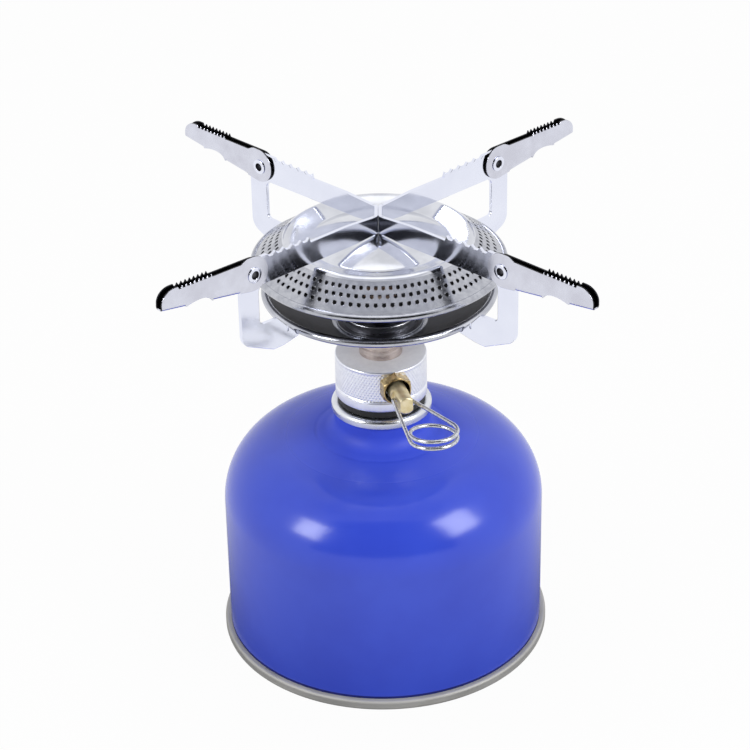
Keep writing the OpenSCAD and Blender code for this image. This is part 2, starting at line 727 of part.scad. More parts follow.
module strip_profile() {
  top_z = pivot_z + strip_top;
  plain_z = pivot_z + strip_plain;
  tooth_x = pivot_r - 5.65;
  tooth_slope = 0.03;
  teeth_end = tooth_x - strip_teeth * strip_pitch;
  round_a = asin(strip_top / post_top_r);
  low_z = pivot_z - strip_low;
  foot_top = rim_z + foot_rise;
  foot_low = rim_z - foot_drop;
  heel = 5;
  slot_r = rim_x + rim_bead + 3;
  peak_r = slot_r + foot_peak;
  slot_z = rim_z + 2.7;
  leg_in = strip_start + 0.2;
  difference() {
    polygon(concat(
      [[leg_in, strip_low_z], [leg_in, strip_high_z], [leg_in + 1.2, strip_high_z],
       [leg_in + 12, plain_z], [teeth_end - 0.5, plain_z]],
      [[teeth_end, top_z - tooth_slope * (tooth_x - teeth_end)]],
      flip(teeth(tooth_x, top_z, strip_teeth, strip_pitch, tooth_slope)),
      [[tooth_x, top_z]],
      arc([pivot_r, pivot_z], post_top_r, round_a, 0, 6),
      arc([post_out - heel, foot_low + heel + 4], heel, 0, -60, 6),
      [[peak_r + 2, foot_low], [slot_r + 2, foot_low], [slot_r - 1, foot_low + 0.5],
       [rim_x, foot_low + 1.2], [rim_x, rim_z],
       [rim_x + rim_bead, rim_z], [slot_r - 0.3, slot_z],
       [slot_r - 0.3, slot_z - 1.4], [slot_r + 0.3, slot_z - 1.4], [slot_r + 0.3, slot_z + 0.5],
       [peak_r, foot_top]],
      arc([post_in - 1.5, foot_top + 1.7], 1.5, -90, 0, 4),
      arc([post_in - 3, low_z - 2], 3, 0, 60, 4),
      [[leg_in + 8, low_z + 0.6], [leg_in + 1.2, strip_low_z]]));
    translate([rim_x, rim_z]) circle(r = rim_bead + 3 * seated);
    translate([pivot_r, pivot_z]) circle(r = rivet_r + seated);
  }
}

// Plan of the strip's middle: the flat, two bends, and a short start of both legs
module strip_middle() {
  c = [strip_mid + strip_bend, strip_flat / 2];
  stub = 0.8 * [cos(leg_angle), sin(leg_angle)];
  far = arc(c, strip_bend + strip_t / 2, 180 - strip_turn, 180, 4);
  near = arc(c, strip_bend - strip_t / 2, 180 - strip_turn, 180, 4);
  outer = concat([far[0] + stub], far);
  inner = concat([near[0] + stub], near);
  polygon(concat(outer, [for (p = flip(outer)) [p[0], -p[1]]],
                 [for (p = inner) [p[0], -p[1]]], flip(inner)));
}

// Strip with two legs, and a flat at the middle where it lies against the other strip
module pot_support(turn) {
  rotate([0, 0, turn]) {
    for (s = [-1, 1])
      arm_frame(s * leg_angle, s) upright(strip_t) strip_profile();
    translate([0, 0, strip_low_z]) linear_extrude(strip_mid_h) strip_middle();
  }
}

module pot_support_left() {
  color("gainsboro") pot_support(stand_turn + 180);
}

module pot_support_right() {
  color("gainsboro") pot_support(stand_turn);
}

// Which way each arm points, the side its strip lies on, its lift and the side of its high ear
ARMS = [for (i = [0:3]) let (s = i % 2 == 0 ? -1 : 1)
  [(i < 2 ? 0 : 180) + s * leg_angle + stand_turn, s, arm_lift[i], i < 2 ? -1 : 1]];

module pivot_rivets() {
  color("lightgray") for (a = ARMS)
    arm_frame(a[0], a[1]) translate([pivot_r, 0, pivot_z]) rotate([90, 0, 0]) difference() {
      union() {
        cylinder(r = rivet_r, h = rivet_l, center = true);
        for (s = [-1, 1])
          translate([0, 0, s * (rivet_l - rivet_head_t) / 2])
            cylinder(r = rivet_head_r, h = rivet_head_t, center = true);
      }
      cylinder(r = rivet_r - 0.45, h = 2 * rivet_l, center = true);
    }
}

// Folding arm pieces, about the pivot

ear_c = [0.3, 0.4];
ear_r = arm_top + ear_rise - ear_c[1];
arm_slope = 8.25;
web_in = post_top_r + 0.45;
scoop_a = 16.6;
scoop_b = 26;
tip_round = [5, 4.2];

// Lower edge of an arm at the distance u from its pivot, a line that touches the ear's round
low_start = ear_c + ear_r * [sin(arm_slope), -cos(arm_slope)];
function arm_edge(u) = low_start[1] + (u - low_start[0]) * tan(arm_slope);

// Side view of one wall, with a high or a low ear
module arm_profile(high) {
  teeth_x = arm_l - tip_round[0] - 1.1;
  teeth_end = teeth_x - arm_pitch * arm_teeth;
  plain = arm_top - arm_dip;
  r = high ? ear_r : plain - ear_c[1];
  scoop_top = arm_edge(scoop_b) + 0.8;
  polygon(concat(
    arc(ear_c, r, 180, 270 + arm_slope, 8),
    high ? [] : [[web_in, arm_edge(web_in)]],
    [[scoop_a, arm_edge(scoop_a)]],
    lean([scoop_a, arm_edge(scoop_a)], [scoop_a + 0.9, scoop_top], [scoop_a + 4.6, scoop_top], 5),
    lean([scoop_a + 4.6, scoop_top], [scoop_b - 2.4, scoop_top], [scoop_b, arm_edge(scoop_b)], 4),
    [[arm_l, arm_edge(arm_l)]],
    [for (a = [0:15:90]) [arm_l, arm_top] - [tip_round[0] * (1 - cos(a)), tip_round[1] * (1 - sin(a))]],
    teeth(teeth_x, arm_top, arm_teeth, arm_pitch, 0),
    [[teeth_end, arm_top], [teeth_end - 0.4, plain]],
    high ? [[ear_c[0] + 4.9, plain], [ear_c[0] + 3.2, arm_top + ear_rise - 0.3],
            [ear_c[0] + 2.1, arm_top + ear_rise]] : [],
    arc(ear_c, r, 90, 180, 8)));
}

// Closed underside of the arm between the distances u0 and u1
module web_profile(u0, u1) {
  low = 2 * seated;
  polygon([[u0, arm_edge(u0) + low], [u1, arm_edge(u1) + low],
           [u1, arm_edge(u1) + arm_sheet], [u0, arm_edge(u0) + arm_sheet]]);
}

module folding_arm(a) {
  color("silver") arm_frame(a[0], a[1]) translate([pivot_r, 0, pivot_z]) rotate([0, -a[2], 0]) difference() {
    union() {
      for (s = [-1, 1])
        upright(arm_sheet, s * (arm_w - arm_sheet) / 2) arm_profile(s == a[3]);
      upright(arm_w - 2 * seated) web_profile(web_in, scoop_a - seated);
      upright(arm_w - 2 * seated) web_profile(scoop_b + seated, arm_l - seated);
    }
    rotate([90, 0, 0]) cylinder(r = rivet_r + running, h = 2 * arm_w, center = true);
  }
}

module arm_front_right() folding_arm(ARMS[0]);
module arm_back_right() folding_arm(ARMS[1]);
module arm_back_left() folding_arm(ARMS[2]);
module arm_front_left() folding_arm(ARMS[3]);

canister_shell();
canister_base();
valve_cup();
cup_gasket();
valve_housing();
stem_gasket();
valve_stem();
valve_spring();
seal_ring();
valve_body();
depressor_pin();
gas_jet();
gland_nut();
spindle();
spindle_o_ring();
wire_handle();
mixing_tube();
reflector_dish();
dish_washer();
dish_nut();
burner_pan();
burner_cap();
pot_support_left();
pot_support_right();
pivot_rivets();
arm_front_right();
arm_back_right();
arm_back_left();
arm_front_left();
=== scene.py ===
import bmesh
import bpy
import numpy as np
from mathutils import Matrix, Vector


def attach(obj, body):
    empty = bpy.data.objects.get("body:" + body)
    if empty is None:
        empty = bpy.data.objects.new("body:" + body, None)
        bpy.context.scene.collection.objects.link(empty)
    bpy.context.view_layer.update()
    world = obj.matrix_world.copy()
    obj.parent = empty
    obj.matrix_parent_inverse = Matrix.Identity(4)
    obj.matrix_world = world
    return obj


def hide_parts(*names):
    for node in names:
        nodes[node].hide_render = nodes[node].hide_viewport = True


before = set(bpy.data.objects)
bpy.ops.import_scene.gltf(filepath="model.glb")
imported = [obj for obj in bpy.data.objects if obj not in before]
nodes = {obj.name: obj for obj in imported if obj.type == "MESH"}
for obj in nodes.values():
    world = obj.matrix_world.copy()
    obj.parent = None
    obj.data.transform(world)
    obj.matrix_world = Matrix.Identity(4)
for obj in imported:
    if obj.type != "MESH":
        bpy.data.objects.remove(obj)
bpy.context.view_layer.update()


# Gas canister
# A deep-drawn steel can, 106 mm across, with its shoulder and neck spun in one piece.
# It is sprayed blue and baked, which leaves a hard gloss with a faint orange peel.

def arc(x, y, r, start, end, n):
    """n points on a circle of radius r about (x, y), from one angle in degrees to another."""
    a = np.radians(np.linspace(start, end, n))
    return np.stack([x + r * np.cos(a), y + r * np.sin(a)], -1)


def grid_faces(n, m, closed_n=True, closed_m=True):
    """Corner numbers of the quads of an n by m grid of points, joined end to end where closed."""
    i, j = np.meshgrid(np.arange(n if closed_n else n - 1),
                       np.arange(m if closed_m else m - 1), indexing="ij")
    i2, j2 = (i + 1) % n, (j + 1) % m
    return np.stack([i * m + j, i2 * m + j, i2 * m + j2, i * m + j2], -1).reshape(-1, 4)


def turned(outline, steps=192, closed=True):
    """A turned part: each (radius, height) of its outline, closed or left open, goes once round
    the Z axis, x = radius times cosine, y = radius times sine, z = height."""
    r, h = np.asarray(outline, float).T
    t = np.linspace(0, 2 * np.pi, steps, endpoint=False)
    points = np.stack([np.outer(np.cos(t), r), np.outer(np.sin(t), r), np.tile(h, (steps, 1))], -1)
    return points.reshape(-1, 3), grid_faces(steps, len(r), closed_m=closed)


def make_piece(name, shape, finish, body, replaced, sharp=32, inside=None):
    """One object from points in millimetres and arrays of faces. Points that fall together are
    merged, faces turn outwards, and edges bent by more than sharp degrees stay crisp.
    inside gives a second finish and a test of face centres that says which faces have it."""
    points, faces = shape
    mesh = bpy.data.meshes.new(name)
    corners = [c for part in (faces if isinstance(faces, list) else [faces]) for c in part.tolist()]
    mesh.from_pydata((np.asarray(points) / 1000).tolist(), [], corners)
    bm = bmesh.new()
    bm.from_mesh(mesh)
    bmesh.ops.remove_doubles(bm, verts=bm.verts, dist=2e-7)
    bmesh.ops.recalc_face_normals(bm, faces=bm.faces)
    bm.to_mesh(mesh)
    bm.free()
    mesh.shade_smooth()
    mesh.set_sharp_from_angle(angle=np.radians(sharp))
    mesh.materials.append(finish)
    if inside:
        mesh.materials.append(inside[0])
        middle = np.zeros(len(mesh.polygons) * 3)
        mesh.polygons.foreach_get("center", middle)
        chosen = inside[1](middle.reshape(-1, 3) * 1000)
        mesh.polygons.foreach_set("material_index", chosen.astype(np.int32))
    piece = bpy.data.objects.new(name, mesh)
    bpy.context.scene.collection.objects.link(piece)
    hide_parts(*replaced)
    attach(piece, body)
    return piece


def colour(hexa):
    """An sRGB hex colour as linear red, green, blue and alpha."""
    c = np.array([int(hexa[i:i + 2], 16) for i in (1, 3, 5)]) / 255
    c = np.where(c <= 0.04045, c / 12.92, ((c + 0.055) / 1.055) ** 2.4)
    return (*c.tolist(), 1.0)


def add(tree, kind, values=None, links=None, **settings):
    """Adds one shader node: settings are its options, values go on its inputs, and links
    name the node and output that feed an input."""
    node = tree.nodes.new(kind)
    for key, value in settings.items():
        setattr(node, key, value)
    for key, value in (values or {}).items():
        node.inputs[key].default_value = value
    for key, (source, output) in (links or {}).items():
        tree.links.new(source.outputs[output], node.inputs[key])
    return node


def surface(name, **sockets):
    """A new material with these constants on its shader's own sockets, and its node tree."""
    material = bpy.data.materials.new(name)
    material.use_nodes = True
    tree = material.node_tree
    shader = tree.nodes["Principled BSDF"]
    for key, value in sockets.items():
        shader.inputs[key.replace("_", " ")].default_value = value
    return material, tree, shader


def vary(tree, shader, low, high, grain_mm, rough=None, bump=None, stretch=(1, 1, 1)):
    """Cloudy change from one colour to another over grain_mm, and where given, the same grain
    as a range of roughness and as a bump of so many millimetres."""
    ends = 0.36, 0.64
    place = add(tree, "ShaderNodeTexCoord")
    turn = add(tree, "ShaderNodeMapping", {"Scale": stretch}, {"Vector": (place, "Object")})
    noise = add(tree, "ShaderNodeTexNoise",
                {"Scale": 1000 / grain_mm, "Detail": 3.0, "Roughness": 0.55},
                {"Vector": (turn, "Vector")})
    ramp = add(tree, "ShaderNodeValToRGB", None, {"Fac": (noise, "Fac")})
    for stop, at, hexa in zip(ramp.color_ramp.elements, ends, (low, high)):
        stop.position, stop.color = at, colour(hexa)
    tree.links.new(ramp.outputs["Color"], shader.inputs["Base Color"])
    if rough:
        span = add(tree, "ShaderNodeMapRange", {"From Min": ends[0], "From Max": ends[1],
                   "To Min": rough[0], "To Max": rough[1]}, {"Value": (noise, "Fac")})
        tree.links.new(span.outputs["Result"], shader.inputs["Roughness"])
    if bump:
        relief = add(tree, "ShaderNodeBump", {"Strength": 1.0, "Distance": bump / 1000},
                     {"Height": (noise, "Fac")})
        tree.links.new(relief.outputs["Normal"], shader.inputs["Normal"])


def mottled(name, *look, **sockets):
    """A new material with these constants, varied as vary() says."""
    material, tree, shader = surface(name, **sockets)
    vary(tree, shader, *look)
    return material


CAN_R, SEAM_H, NECK_R, NECK_TOP = 53.1, 3.4, 15.6, 85.006
CAN_SHEET, FOOT_LINE, SHOULDER_R, SHOULDER_Z, SHOULDER_A = 0.6, 4.3, 23, 50, 78.5
FILLET_R, FILLET_Z = 5, 80.506
GAP = 0.03  # between pieces that lie against each other
PRESS_MARK = np.array([[23.0, 74.916], [22.3, 74.94], [21.8, 74.91], [21.2, 75.07]])


def can_line(inset):
    """Wall, rolled shoulder, cone, press mark and neck fillet of the can, set in by inset."""
    return np.concatenate([
        [[CAN_R - inset, z] for z in (SEAM_H + GAP, FOOT_LINE, 20.0, 35.0)],
        arc(CAN_R - SHOULDER_R, SHOULDER_Z, SHOULDER_R - inset, 0, SHOULDER_A, 48),
        PRESS_MARK - [0, inset],
        arc(NECK_R + FILLET_R, FILLET_Z, FILLET_R + inset, 180 + SHOULDER_A, 180, 20),
        [[NECK_R - inset, NECK_TOP]]])


# Baked gloss lacquer on steel: a saturated blue under a clear, mirror-like skin whose
# orange peel, ripples about 3 mm wide, makes the lights in it waver slightly.
lacquer, tree, shader = surface("baked_blue_lacquer", Roughness=0.5, Specular_IOR_Level=0.0,
                                Coat_Weight=1.0)
vary(tree, shader, "#3850d8", "#3c56df", 26)
peel_place = add(tree, "ShaderNodeTexCoord")
peel = add(tree, "ShaderNodeTexNoise", {"Scale": 1000 / 3, "Detail": 1.0},
           {"Vector": (peel_place, "Object")})
ripple = add(tree, "ShaderNodeBump", {"Strength": 1.0, "Distance": 0.000012},
             {"Height": (peel, "Fac")})
tree.links.new(ripple.outputs["Normal"], shader.inputs["Coat Normal"])
# The neck, spun last, stays duller than the shoulder, so no light stands in it.
height = add(tree, "ShaderNodeSeparateXYZ", None, {"Vector": (peel_place, "Object")})
dull = add(tree, "ShaderNodeMapRange", {"From Min": 0.0725, "From Max": 0.0755,
                                        "To Min": 0.2, "To Max": 0.55}, {"Value": (height, "Z")})
tree.links.new(dull.outputs["Result"], shader.inputs["Coat Roughness"])

# Painted shade: below FOOT_LINE the lacquer is coloured nearly navy, as the dark contact shade
# where the wall enters the seam.
seam_shade_lacquer = mottled("painted_seam_shade_lacquer", "#1a236c", "#232d80", 3, (0.5, 0.65),
                 Specular_IOR_Level=0.2)
shell = turned(np.concatenate([can_line(0), can_line(CAN_SHEET)[::-1]]), 256)
# The wall's faces below FOOT_LINE take the painted seam shade.
make_piece("canister_shell_lacquered", shell, lacquer, "canister",
           ["canister_shell"], 32, (seam_shade_lacquer, lambda at: at[:, 2] < FOOT_LINE))


# Canister bottom
# A pressed tinplate dome, rolled together with the can's wall in a double seam.
# The seam is the ring that the can stands on, and it is left bare.

SEAM_R, DOME_H, BASE_IN = 55.0, 9.0, 49.9
dome_k = np.linspace(1, 0, 40)
dome_line = np.stack([(CAN_R - 3.4) * dome_k, DOME_H * (1 - dome_k ** 2) + CAN_SHEET + 0.6], -1)
base_line = np.concatenate([
    [[BASE_IN, 0.35]], arc(BASE_IN + 0.35, 0.35, 0.35, 180, 270, 4), [[SEAM_R - 1, 0]],
    arc(SEAM_R - 1, 1, 1, -90, 0, 8), [[SEAM_R - 0.12, 1.75]],
    arc(SEAM_R - 0.9, SEAM_H - 0.9, 0.9, 0, 90, 9),
    [[CAN_R + GAP, SEAM_H], [CAN_R + GAP, SEAM_H - GAP], [51.1, SEAM_H - GAP], [BASE_IN, 1.6]],
    dome_line, (dome_line - [0, CAN_SHEET])[::-1]])

# Rolled tinplate: an even, warm grey, dulled by its oxide, with marks that run round the seam.
tinplate = mottled("rolled_tinplate", "#b3b2ae", "#c2c1bd", 5, (0.55, 0.66), 0.004,
                   (0.35, 0.35, 2.2), Metallic=0.35)
make_piece("canister_base_seamed", turned(base_line, 256), tinplate, "canister",
           ["canister_base"])


# Valve cup
# A pressed steel cup clinched over the can's neck, with the threaded post in its middle.
# Only its rounded, bright outer ring shows under the stove.

CUP_R, CUP_IN, CUP_TOP, CUP_SKIRT, CUP_FLOOR = 16.5, 13.5, 86.756, 83.706, 80.456
POST_R, POST_BORE, STEM_BORE, POST_TOP, STEM_SEAT = 5.55, 4.4, 2.6, 91.006, 88.006
cup_line = np.concatenate([
    [[CUP_R - 0.25, CUP_SKIRT], [CUP_R, CUP_SKIRT + 0.3]],
    arc(CUP_R - 1.4, CUP_TOP - 1.4, 1.4, 0, 90, 14),
    arc(CUP_IN + 0.98, CUP_TOP - 0.98, 0.98, 90, 180, 10),
    [[CUP_IN, CUP_FLOOR], [POST_R, CUP_FLOOR], [POST_R, POST_TOP - 0.6], [POST_R - 0.6, POST_TOP],
     [STEM_BORE, POST_TOP], [STEM_BORE, STEM_SEAT], [POST_BORE, STEM_SEAT],
     [POST_BORE, CUP_FLOOR - CAN_SHEET], [CUP_IN + CAN_SHEET, CUP_FLOOR - CAN_SHEET],
     [CUP_IN + CAN_SHEET, CUP_TOP - CAN_SHEET], [CUP_R - 1.4, CUP_TOP - CAN_SHEET],
     [CUP_R - CAN_SHEET, CUP_TOP - 1.4], [CUP_R - CAN_SHEET, CUP_SKIRT]]])

# Bright pressed steel: a clean light-grey mirror with fine lines round the axis from the press.
cup_steel = mottled("pressed_bright_steel", "#cccfd8", "#e2e4ea", 4, (0.24, 0.34), 0.003,
                    (0.4, 0.4, 2.5), Metallic=1.0)
make_piece("valve_cup_clinched", turned(cup_line), cup_steel, "canister",
           ["valve_cup"])


# The can's own valve
# Gasket, nylon housing, stem and spring sit inside the cup and never show from outside.
# They keep their plain solids, in rubber, nylon and spring steel.

# Moulded rubber: almost black, dull, with a faint mottle from the mould.
rubber = mottled("moulded_black_rubber", "#0c0c0e", "#17171a", 1.6, (0.5, 0.7), 0.01, IOR=1.5)
# Moulded nylon: milky white with a soft sheen.
nylon = mottled("moulded_nylon", "#e4e2da", "#efede6", 3, (0.4, 0.5), 0.005, Subsurface_Weight=0.1)
# Drawn spring steel: mid-grey metal with lines along the draw.
drawn_steel = mottled("drawn_spring_steel", "#9a9ca2", "#b9bbc0", 1.2, (0.25, 0.38), 0.003,
                      Metallic=1.0)


def coat_solid(node, material):
    """Gives a node's own solid this material, and leaves its shape as it is."""
    nodes[node].data.materials.clear()
    nodes[node].data.materials.append(material)


for hidden, material in (("cup_gasket", rubber), ("stem_gasket", rubber), ("valve_housing", nylon),
                         ("valve_stem", drawn_steel), ("valve_spring", drawn_steel),
                         ("spindle_o_ring", rubber)):
    coat_solid(hidden, material)


# Seal ring
# A moulded rubber ring that the stove squeezes on the cup as it is screwed down.
# It shows as a thin black band.

SEAL_IN, SEAL_R, SEAL_LOW, SEAL_TOP, SEAL_EDGE = 10.0, 14.4, 86.816, 89.146, 0.5
seal_line = np.concatenate([
    arc(SEAL_R - SEAL_EDGE, SEAL_LOW + SEAL_EDGE, SEAL_EDGE, -90, 0, 6),
    arc(SEAL_R - SEAL_EDGE, SEAL_TOP - SEAL_EDGE, SEAL_EDGE, 0, 90, 6),
    [[SEAL_IN, SEAL_TOP], [SEAL_IN, SEAL_LOW]]])
make_piece("seal_ring_moulded", turned(seal_line), rubber, "seal_ring", ["seal_ring"])


# Valve body
# A block turned from aluminium bar, satin anodised. A roller pressed a fine diamond knurl into its
# side as a grip for screwing the stove on the can; a plain band runs below it.

BODY_R, BODY_Z, BODY_TOP, TUBE_BORE, TUBE_SEAT = 15.0, 89.206, 104.106, 7.03, 103.306
SPIGOT_R, SPIGOT_Z, THREAD_BORE, THREAD_TOP, JET_BORE = 9.7, 87.406, 5.61, 91.606, 2.23
KNURL_LOW, KNURL_HIGH = BODY_Z + 3.85, BODY_TOP - 0.75
KNURL_COUNT, KNURL_DEEP = 84, 0.24
side_z = np.linspace(KNURL_LOW, KNURL_HIGH, 66)
body_line = np.concatenate([
    [[THREAD_BORE, SPIGOT_Z]], arc(SPIGOT_R - 0.3, SPIGOT_Z + 0.3, 0.3, -90, 0, 4),
    [[SPIGOT_R, BODY_Z]],
    arc(BODY_R - 0.7, BODY_Z + 0.7, 0.7, -90, 0, 8),
    [[BODY_R, BODY_Z + 3.1], [BODY_R - 0.3, BODY_Z + 3.3], [BODY_R - 0.3, BODY_Z + 3.55]],
    np.stack([np.full(66, BODY_R), side_z], -1),
    [[BODY_R - 0.05, BODY_TOP - 0.55]], arc(BODY_R - 0.5, BODY_TOP - 0.5, 0.5, 5, 90, 5),
    [[TUBE_BORE, BODY_TOP], [TUBE_BORE, TUBE_SEAT], [JET_BORE, TUBE_SEAT],
     [JET_BORE, THREAD_TOP + 0.194], [THREAD_BORE, THREAD_TOP]]])


def knurled(points):
    """Presses two crossing sets of V grooves into the side between KNURL_LOW and KNURL_HIGH:
    each set is a triangle wave of the angle plus or minus the height, and the deeper one wins."""
    x, y, z = points.T
    turns = np.arctan2(y, x) / (2 * np.pi) * KNURL_COUNT
    rise = (z - KNURL_LOW) / (2 * np.pi * BODY_R / KNURL_COUNT) * 0.62
    wave = np.maximum(np.abs(2 * ((turns + rise) % 1) - 1), np.abs(2 * ((turns - rise) % 1) - 1))
    fade = np.clip(np.minimum(z - KNURL_LOW, KNURL_HIGH - z) / 0.3, 0, 1)
    on_side = (np.hypot(x, y) > BODY_R - 0.01) & (z > KNURL_LOW - 0.01) & (z < KNURL_HIGH + 0.01)
    cut = 1 - np.where(on_side, KNURL_DEEP * wave * fade, 0) / BODY_R
    return np.stack([x * cut, y * cut, z], -1)


# Satin anodised aluminium: whitish grey, with a soft highlight rather than a mirror image.
satin_aluminium = mottled("satin_anodised_aluminium", "#e6e8f1", "#eff1f8", 1.5, (0.3, 0.4),
                          Metallic=1.0)
# Faced aluminium: the lathe left the flat top dull, so the tube hardly mirrors in it.
# Its colour is painted light: a shade whiter than the side, so the top looks lit though the dish
# shades it.
faced_aluminium_painted_light = mottled("faced_aluminium_painted_light", "#f0f1f5", "#f6f7fa", 1.5, (0.52, 0.66), Metallic=0.1)
points, faces = turned(body_line, KNURL_COUNT * 8)
make_piece("valve_body_knurled", (knurled(points), faces), satin_aluminium, "stove",
           ["valve_body"], 50,
           (faced_aluminium_painted_light, lambda at: at[:, 2] > BODY_TOP - 0.02))


# Jet and depressor pin
# Two small parts turned from brass: the jet over the body, and the pin that opens the can.
# They never show, and their solids stay as they are.

# Turned brass: warm yellow metal with fine tool lines and slightly browner patches.
brass = mottled("turned_brass", "#a18b60", "#c4ae80", 2.2, (0.26, 0.38), 0.0012, (1, 1, 3),
                Metallic=1.0)
for hidden in ("gas_jet", "depressor_pin"):
    coat_solid(hidden, brass)


# Gland nut and spindle
# A brass hexagon nut screwed into the body's side holds the needle spindle.
# The spindle's end has two flats and a slanted cross hole for the wire handle.

VALVE_Z, VALVE_TURN = 98.806, np.radians(-73.7)
valve_out = np.array([np.cos(VALVE_TURN), np.sin(VALVE_TURN), 0])
valve_right = np.array([-np.sin(VALVE_TURN), np.cos(VALVE_TURN), 0])
valve_up = np.array([0.0, 0, 1])


def valve_place(out, right, up):
    """Points given as distances outwards along the spindle, to its right, and up."""
    return (np.multiply.outer(out, valve_out) + np.multiply.outer(right, valve_right)
            + np.multiply.outer(up, valve_up) + [0, 0, VALVE_Z])


def rings(out, radius, angle):
    """A part about the spindle's axis: ring i lies at out[i], and radius[i] gives its distance
    from the axis at each angle, measured from the right towards the top."""
    out = np.broadcast_to(np.asarray(out)[:, None], radius.shape)
    points = valve_place(out, radius * np.cos(angle), radius * np.sin(angle))
    return points.reshape(-1, 3), grid_faces(*radius.shape)


NUT_AF, NUT_BACK, NUT_FACE, NUT_EDGE, NUT_BORE, NUT_RECESS = 9.1, 14.05, 18.4, 0.12, 3.06, 4.1
edge_a = np.radians([25, 50, 70, 90])
nut_angle = np.linspace(0, 2 * np.pi, 240, endpoint=False)
six = NUT_AF / 2 / np.cos((nut_angle + np.pi / 6) % (np.pi / 3) - np.pi / 6)
six = six - 0.05 * ((six - NUT_AF / 2) / (NUT_AF / 2 * 0.1547)) ** 6
nut_out = np.concatenate([
    [NUT_BACK, NUT_BACK], np.linspace(NUT_BACK + 0.15, NUT_FACE - NUT_EDGE, 26),
    NUT_FACE - NUT_EDGE + NUT_EDGE * np.sin(edge_a),
    [NUT_FACE, NUT_FACE - NUT_EDGE, NUT_FACE - 2, NUT_BACK + 0.6, NUT_BACK + 0.6]])
nut_limit = NUT_AF / 2 + 0.02 + (NUT_FACE - nut_out) * 1.02
nut_limit[28:32] -= NUT_EDGE * (1 - np.cos(edge_a))
nut_radius = np.minimum(six[None, :], nut_limit[:, None])
nut_radius[0] = nut_radius[-1] = NUT_BORE
nut_radius[1] = np.minimum(six, 5.0)
nut_radius[-5], nut_radius[-4:-1] = NUT_RECESS + NUT_EDGE, NUT_RECESS


def nut_recess(middle):
    """True inside the nut's recess: near the spindle's axis and behind the face."""
    across = np.hypot((middle - [0, 0, VALVE_Z]) @ valve_right, middle[:, 2] - VALVE_Z)
    return (across < NUT_RECESS + 0.07) & (middle @ valve_out < NUT_FACE - 0.05)


# Painted shade: the nut's recess is coloured almost black, as the shade inside it.
recess_shade_brass = mottled("painted_recess_shade_brass", "#1f1a12", "#332b1d", 1.2, (0.38, 0.55), Metallic=1.0)
make_piece("gland_nut_turned", rings(nut_out, nut_radius, nut_angle), brass, "stove",
           ["gland_nut"], 24, (recess_shade_brass, nut_recess))

SPINDLE_R, SPINDLE_END, SPINDLE_EDGE, FLAT_HALF = 3.0, 28.3, 0.7, 2.1
CROSS_A, CROSS_SLANT, WIRE_D = 23.9, np.radians(25), 1.3
LEG_T = FLAT_HALF / np.cos(CROSS_SLANT) + 0.3 + 0.45 * 1.1 * WIRE_D
flats_a = CROSS_A - LEG_T * np.sin(CROSS_SLANT) - WIRE_D - 0.4
end_k = np.radians(np.linspace(0, 90, 7))
spin_out = np.concatenate([[14.0, 14.0], np.linspace(14.6, flats_a, 24),
                           np.linspace(flats_a + 0.02, SPINDLE_END - SPINDLE_EDGE, 24),
                           SPINDLE_END - SPINDLE_EDGE * (1 - np.sin(end_k)), [SPINDLE_END]])
spin_limit = np.concatenate([[0, SPINDLE_R], np.full(48, SPINDLE_R),
                             SPINDLE_R - SPINDLE_EDGE * (1 - np.cos(end_k)), [0]])
spin_angle = np.linspace(0, 2 * np.pi, 160, endpoint=False)
flat_limit = FLAT_HALF / np.maximum(np.abs(np.cos(spin_angle)), 1e-3)
spin_radius = np.where(spin_out[:, None] > flats_a + 0.01,
                       np.minimum(spin_limit[:, None], np.minimum(flat_limit, SPINDLE_R)[None, :]),
                       spin_limit[:, None])
# Rubbed brass: fingers and the wire keep the spindle pale, with a soft sheen.
pale_brass = mottled("rubbed_brass", "#e0cf9f", "#f1e4c2", 2, (0.34, 0.48), Metallic=0.8)
make_piece("spindle_turned", rings(spin_out, spin_radius, spin_angle), pale_brass, "spindle",
           ["spindle"], 24)


# Wire handle
# One piece of hard steel wire, bent into a loop with crossed ends.
# Its two ends hook into the spindle's cross hole, so that it can fold up or down.

LOOP_A, LOOP_B, LOOP_R, LOOP_RISE, HANDLE_LIFT = 52.0, 1.3, 7.3, 3.6, np.radians(6.5)
slant = np.array([np.sin(CROSS_SLANT), np.cos(CROSS_SLANT)])
BEND = 1.1 * WIRE_D
hook_mid = np.array([CROSS_A, 0.0])
hook_left, hook_right = hook_mid - LEG_T * slant, hook_mid + LEG_T * slant
loop_mid = np.array([LOOP_A, LOOP_B])


def loop_touch(p, side):
    """The point where a straight line from p touches the loop, on its right for side = 1."""
    d = loop_mid - p
    far = np.hypot(*d)
    a = np.arctan2(d[1], d[0]) + side * np.arcsin(LOOP_R / far)
    return p + np.sqrt(far ** 2 - LOOP_R ** 2) * np.array([np.cos(a), np.sin(a)])


def eased_bend(p, c, q, n):
    """n points of the curve from p to q that leans towards the corner c, as a parabola."""
    k = np.linspace(0, 1, n)[:, None]
    return (1 - k) ** 2 * p + 2 * k * (1 - k) * c + k ** 2 * q


def tube(path, radius, side_count, up):
    """A round rod along a path: at each point a circle in the plane across the path's direction,
    with one axis of the circle square to up. The two ends are closed."""
    along = np.gradient(path, axis=0)
    along /= np.linalg.norm(along, axis=1)[:, None]
    across = np.cross(along, up)
    across /= np.linalg.norm(across, axis=1)[:, None]
    top = np.cross(across, along)
    a = np.linspace(0, 2 * np.pi, side_count, endpoint=False)
    reach = np.concatenate([[0], np.full(len(path), radius), [0]])[:, None, None]
    path, across, top = (np.concatenate([v[:1], v, v[-1:]]) for v in (path, across, top))
    points = path[:, None] + reach * (np.cos(a)[None, :, None] * across[:, None]
                                      + np.sin(a)[None, :, None] * top[:, None])
    return points.reshape(-1, 3), grid_faces(len(path), side_count, closed_n=False)


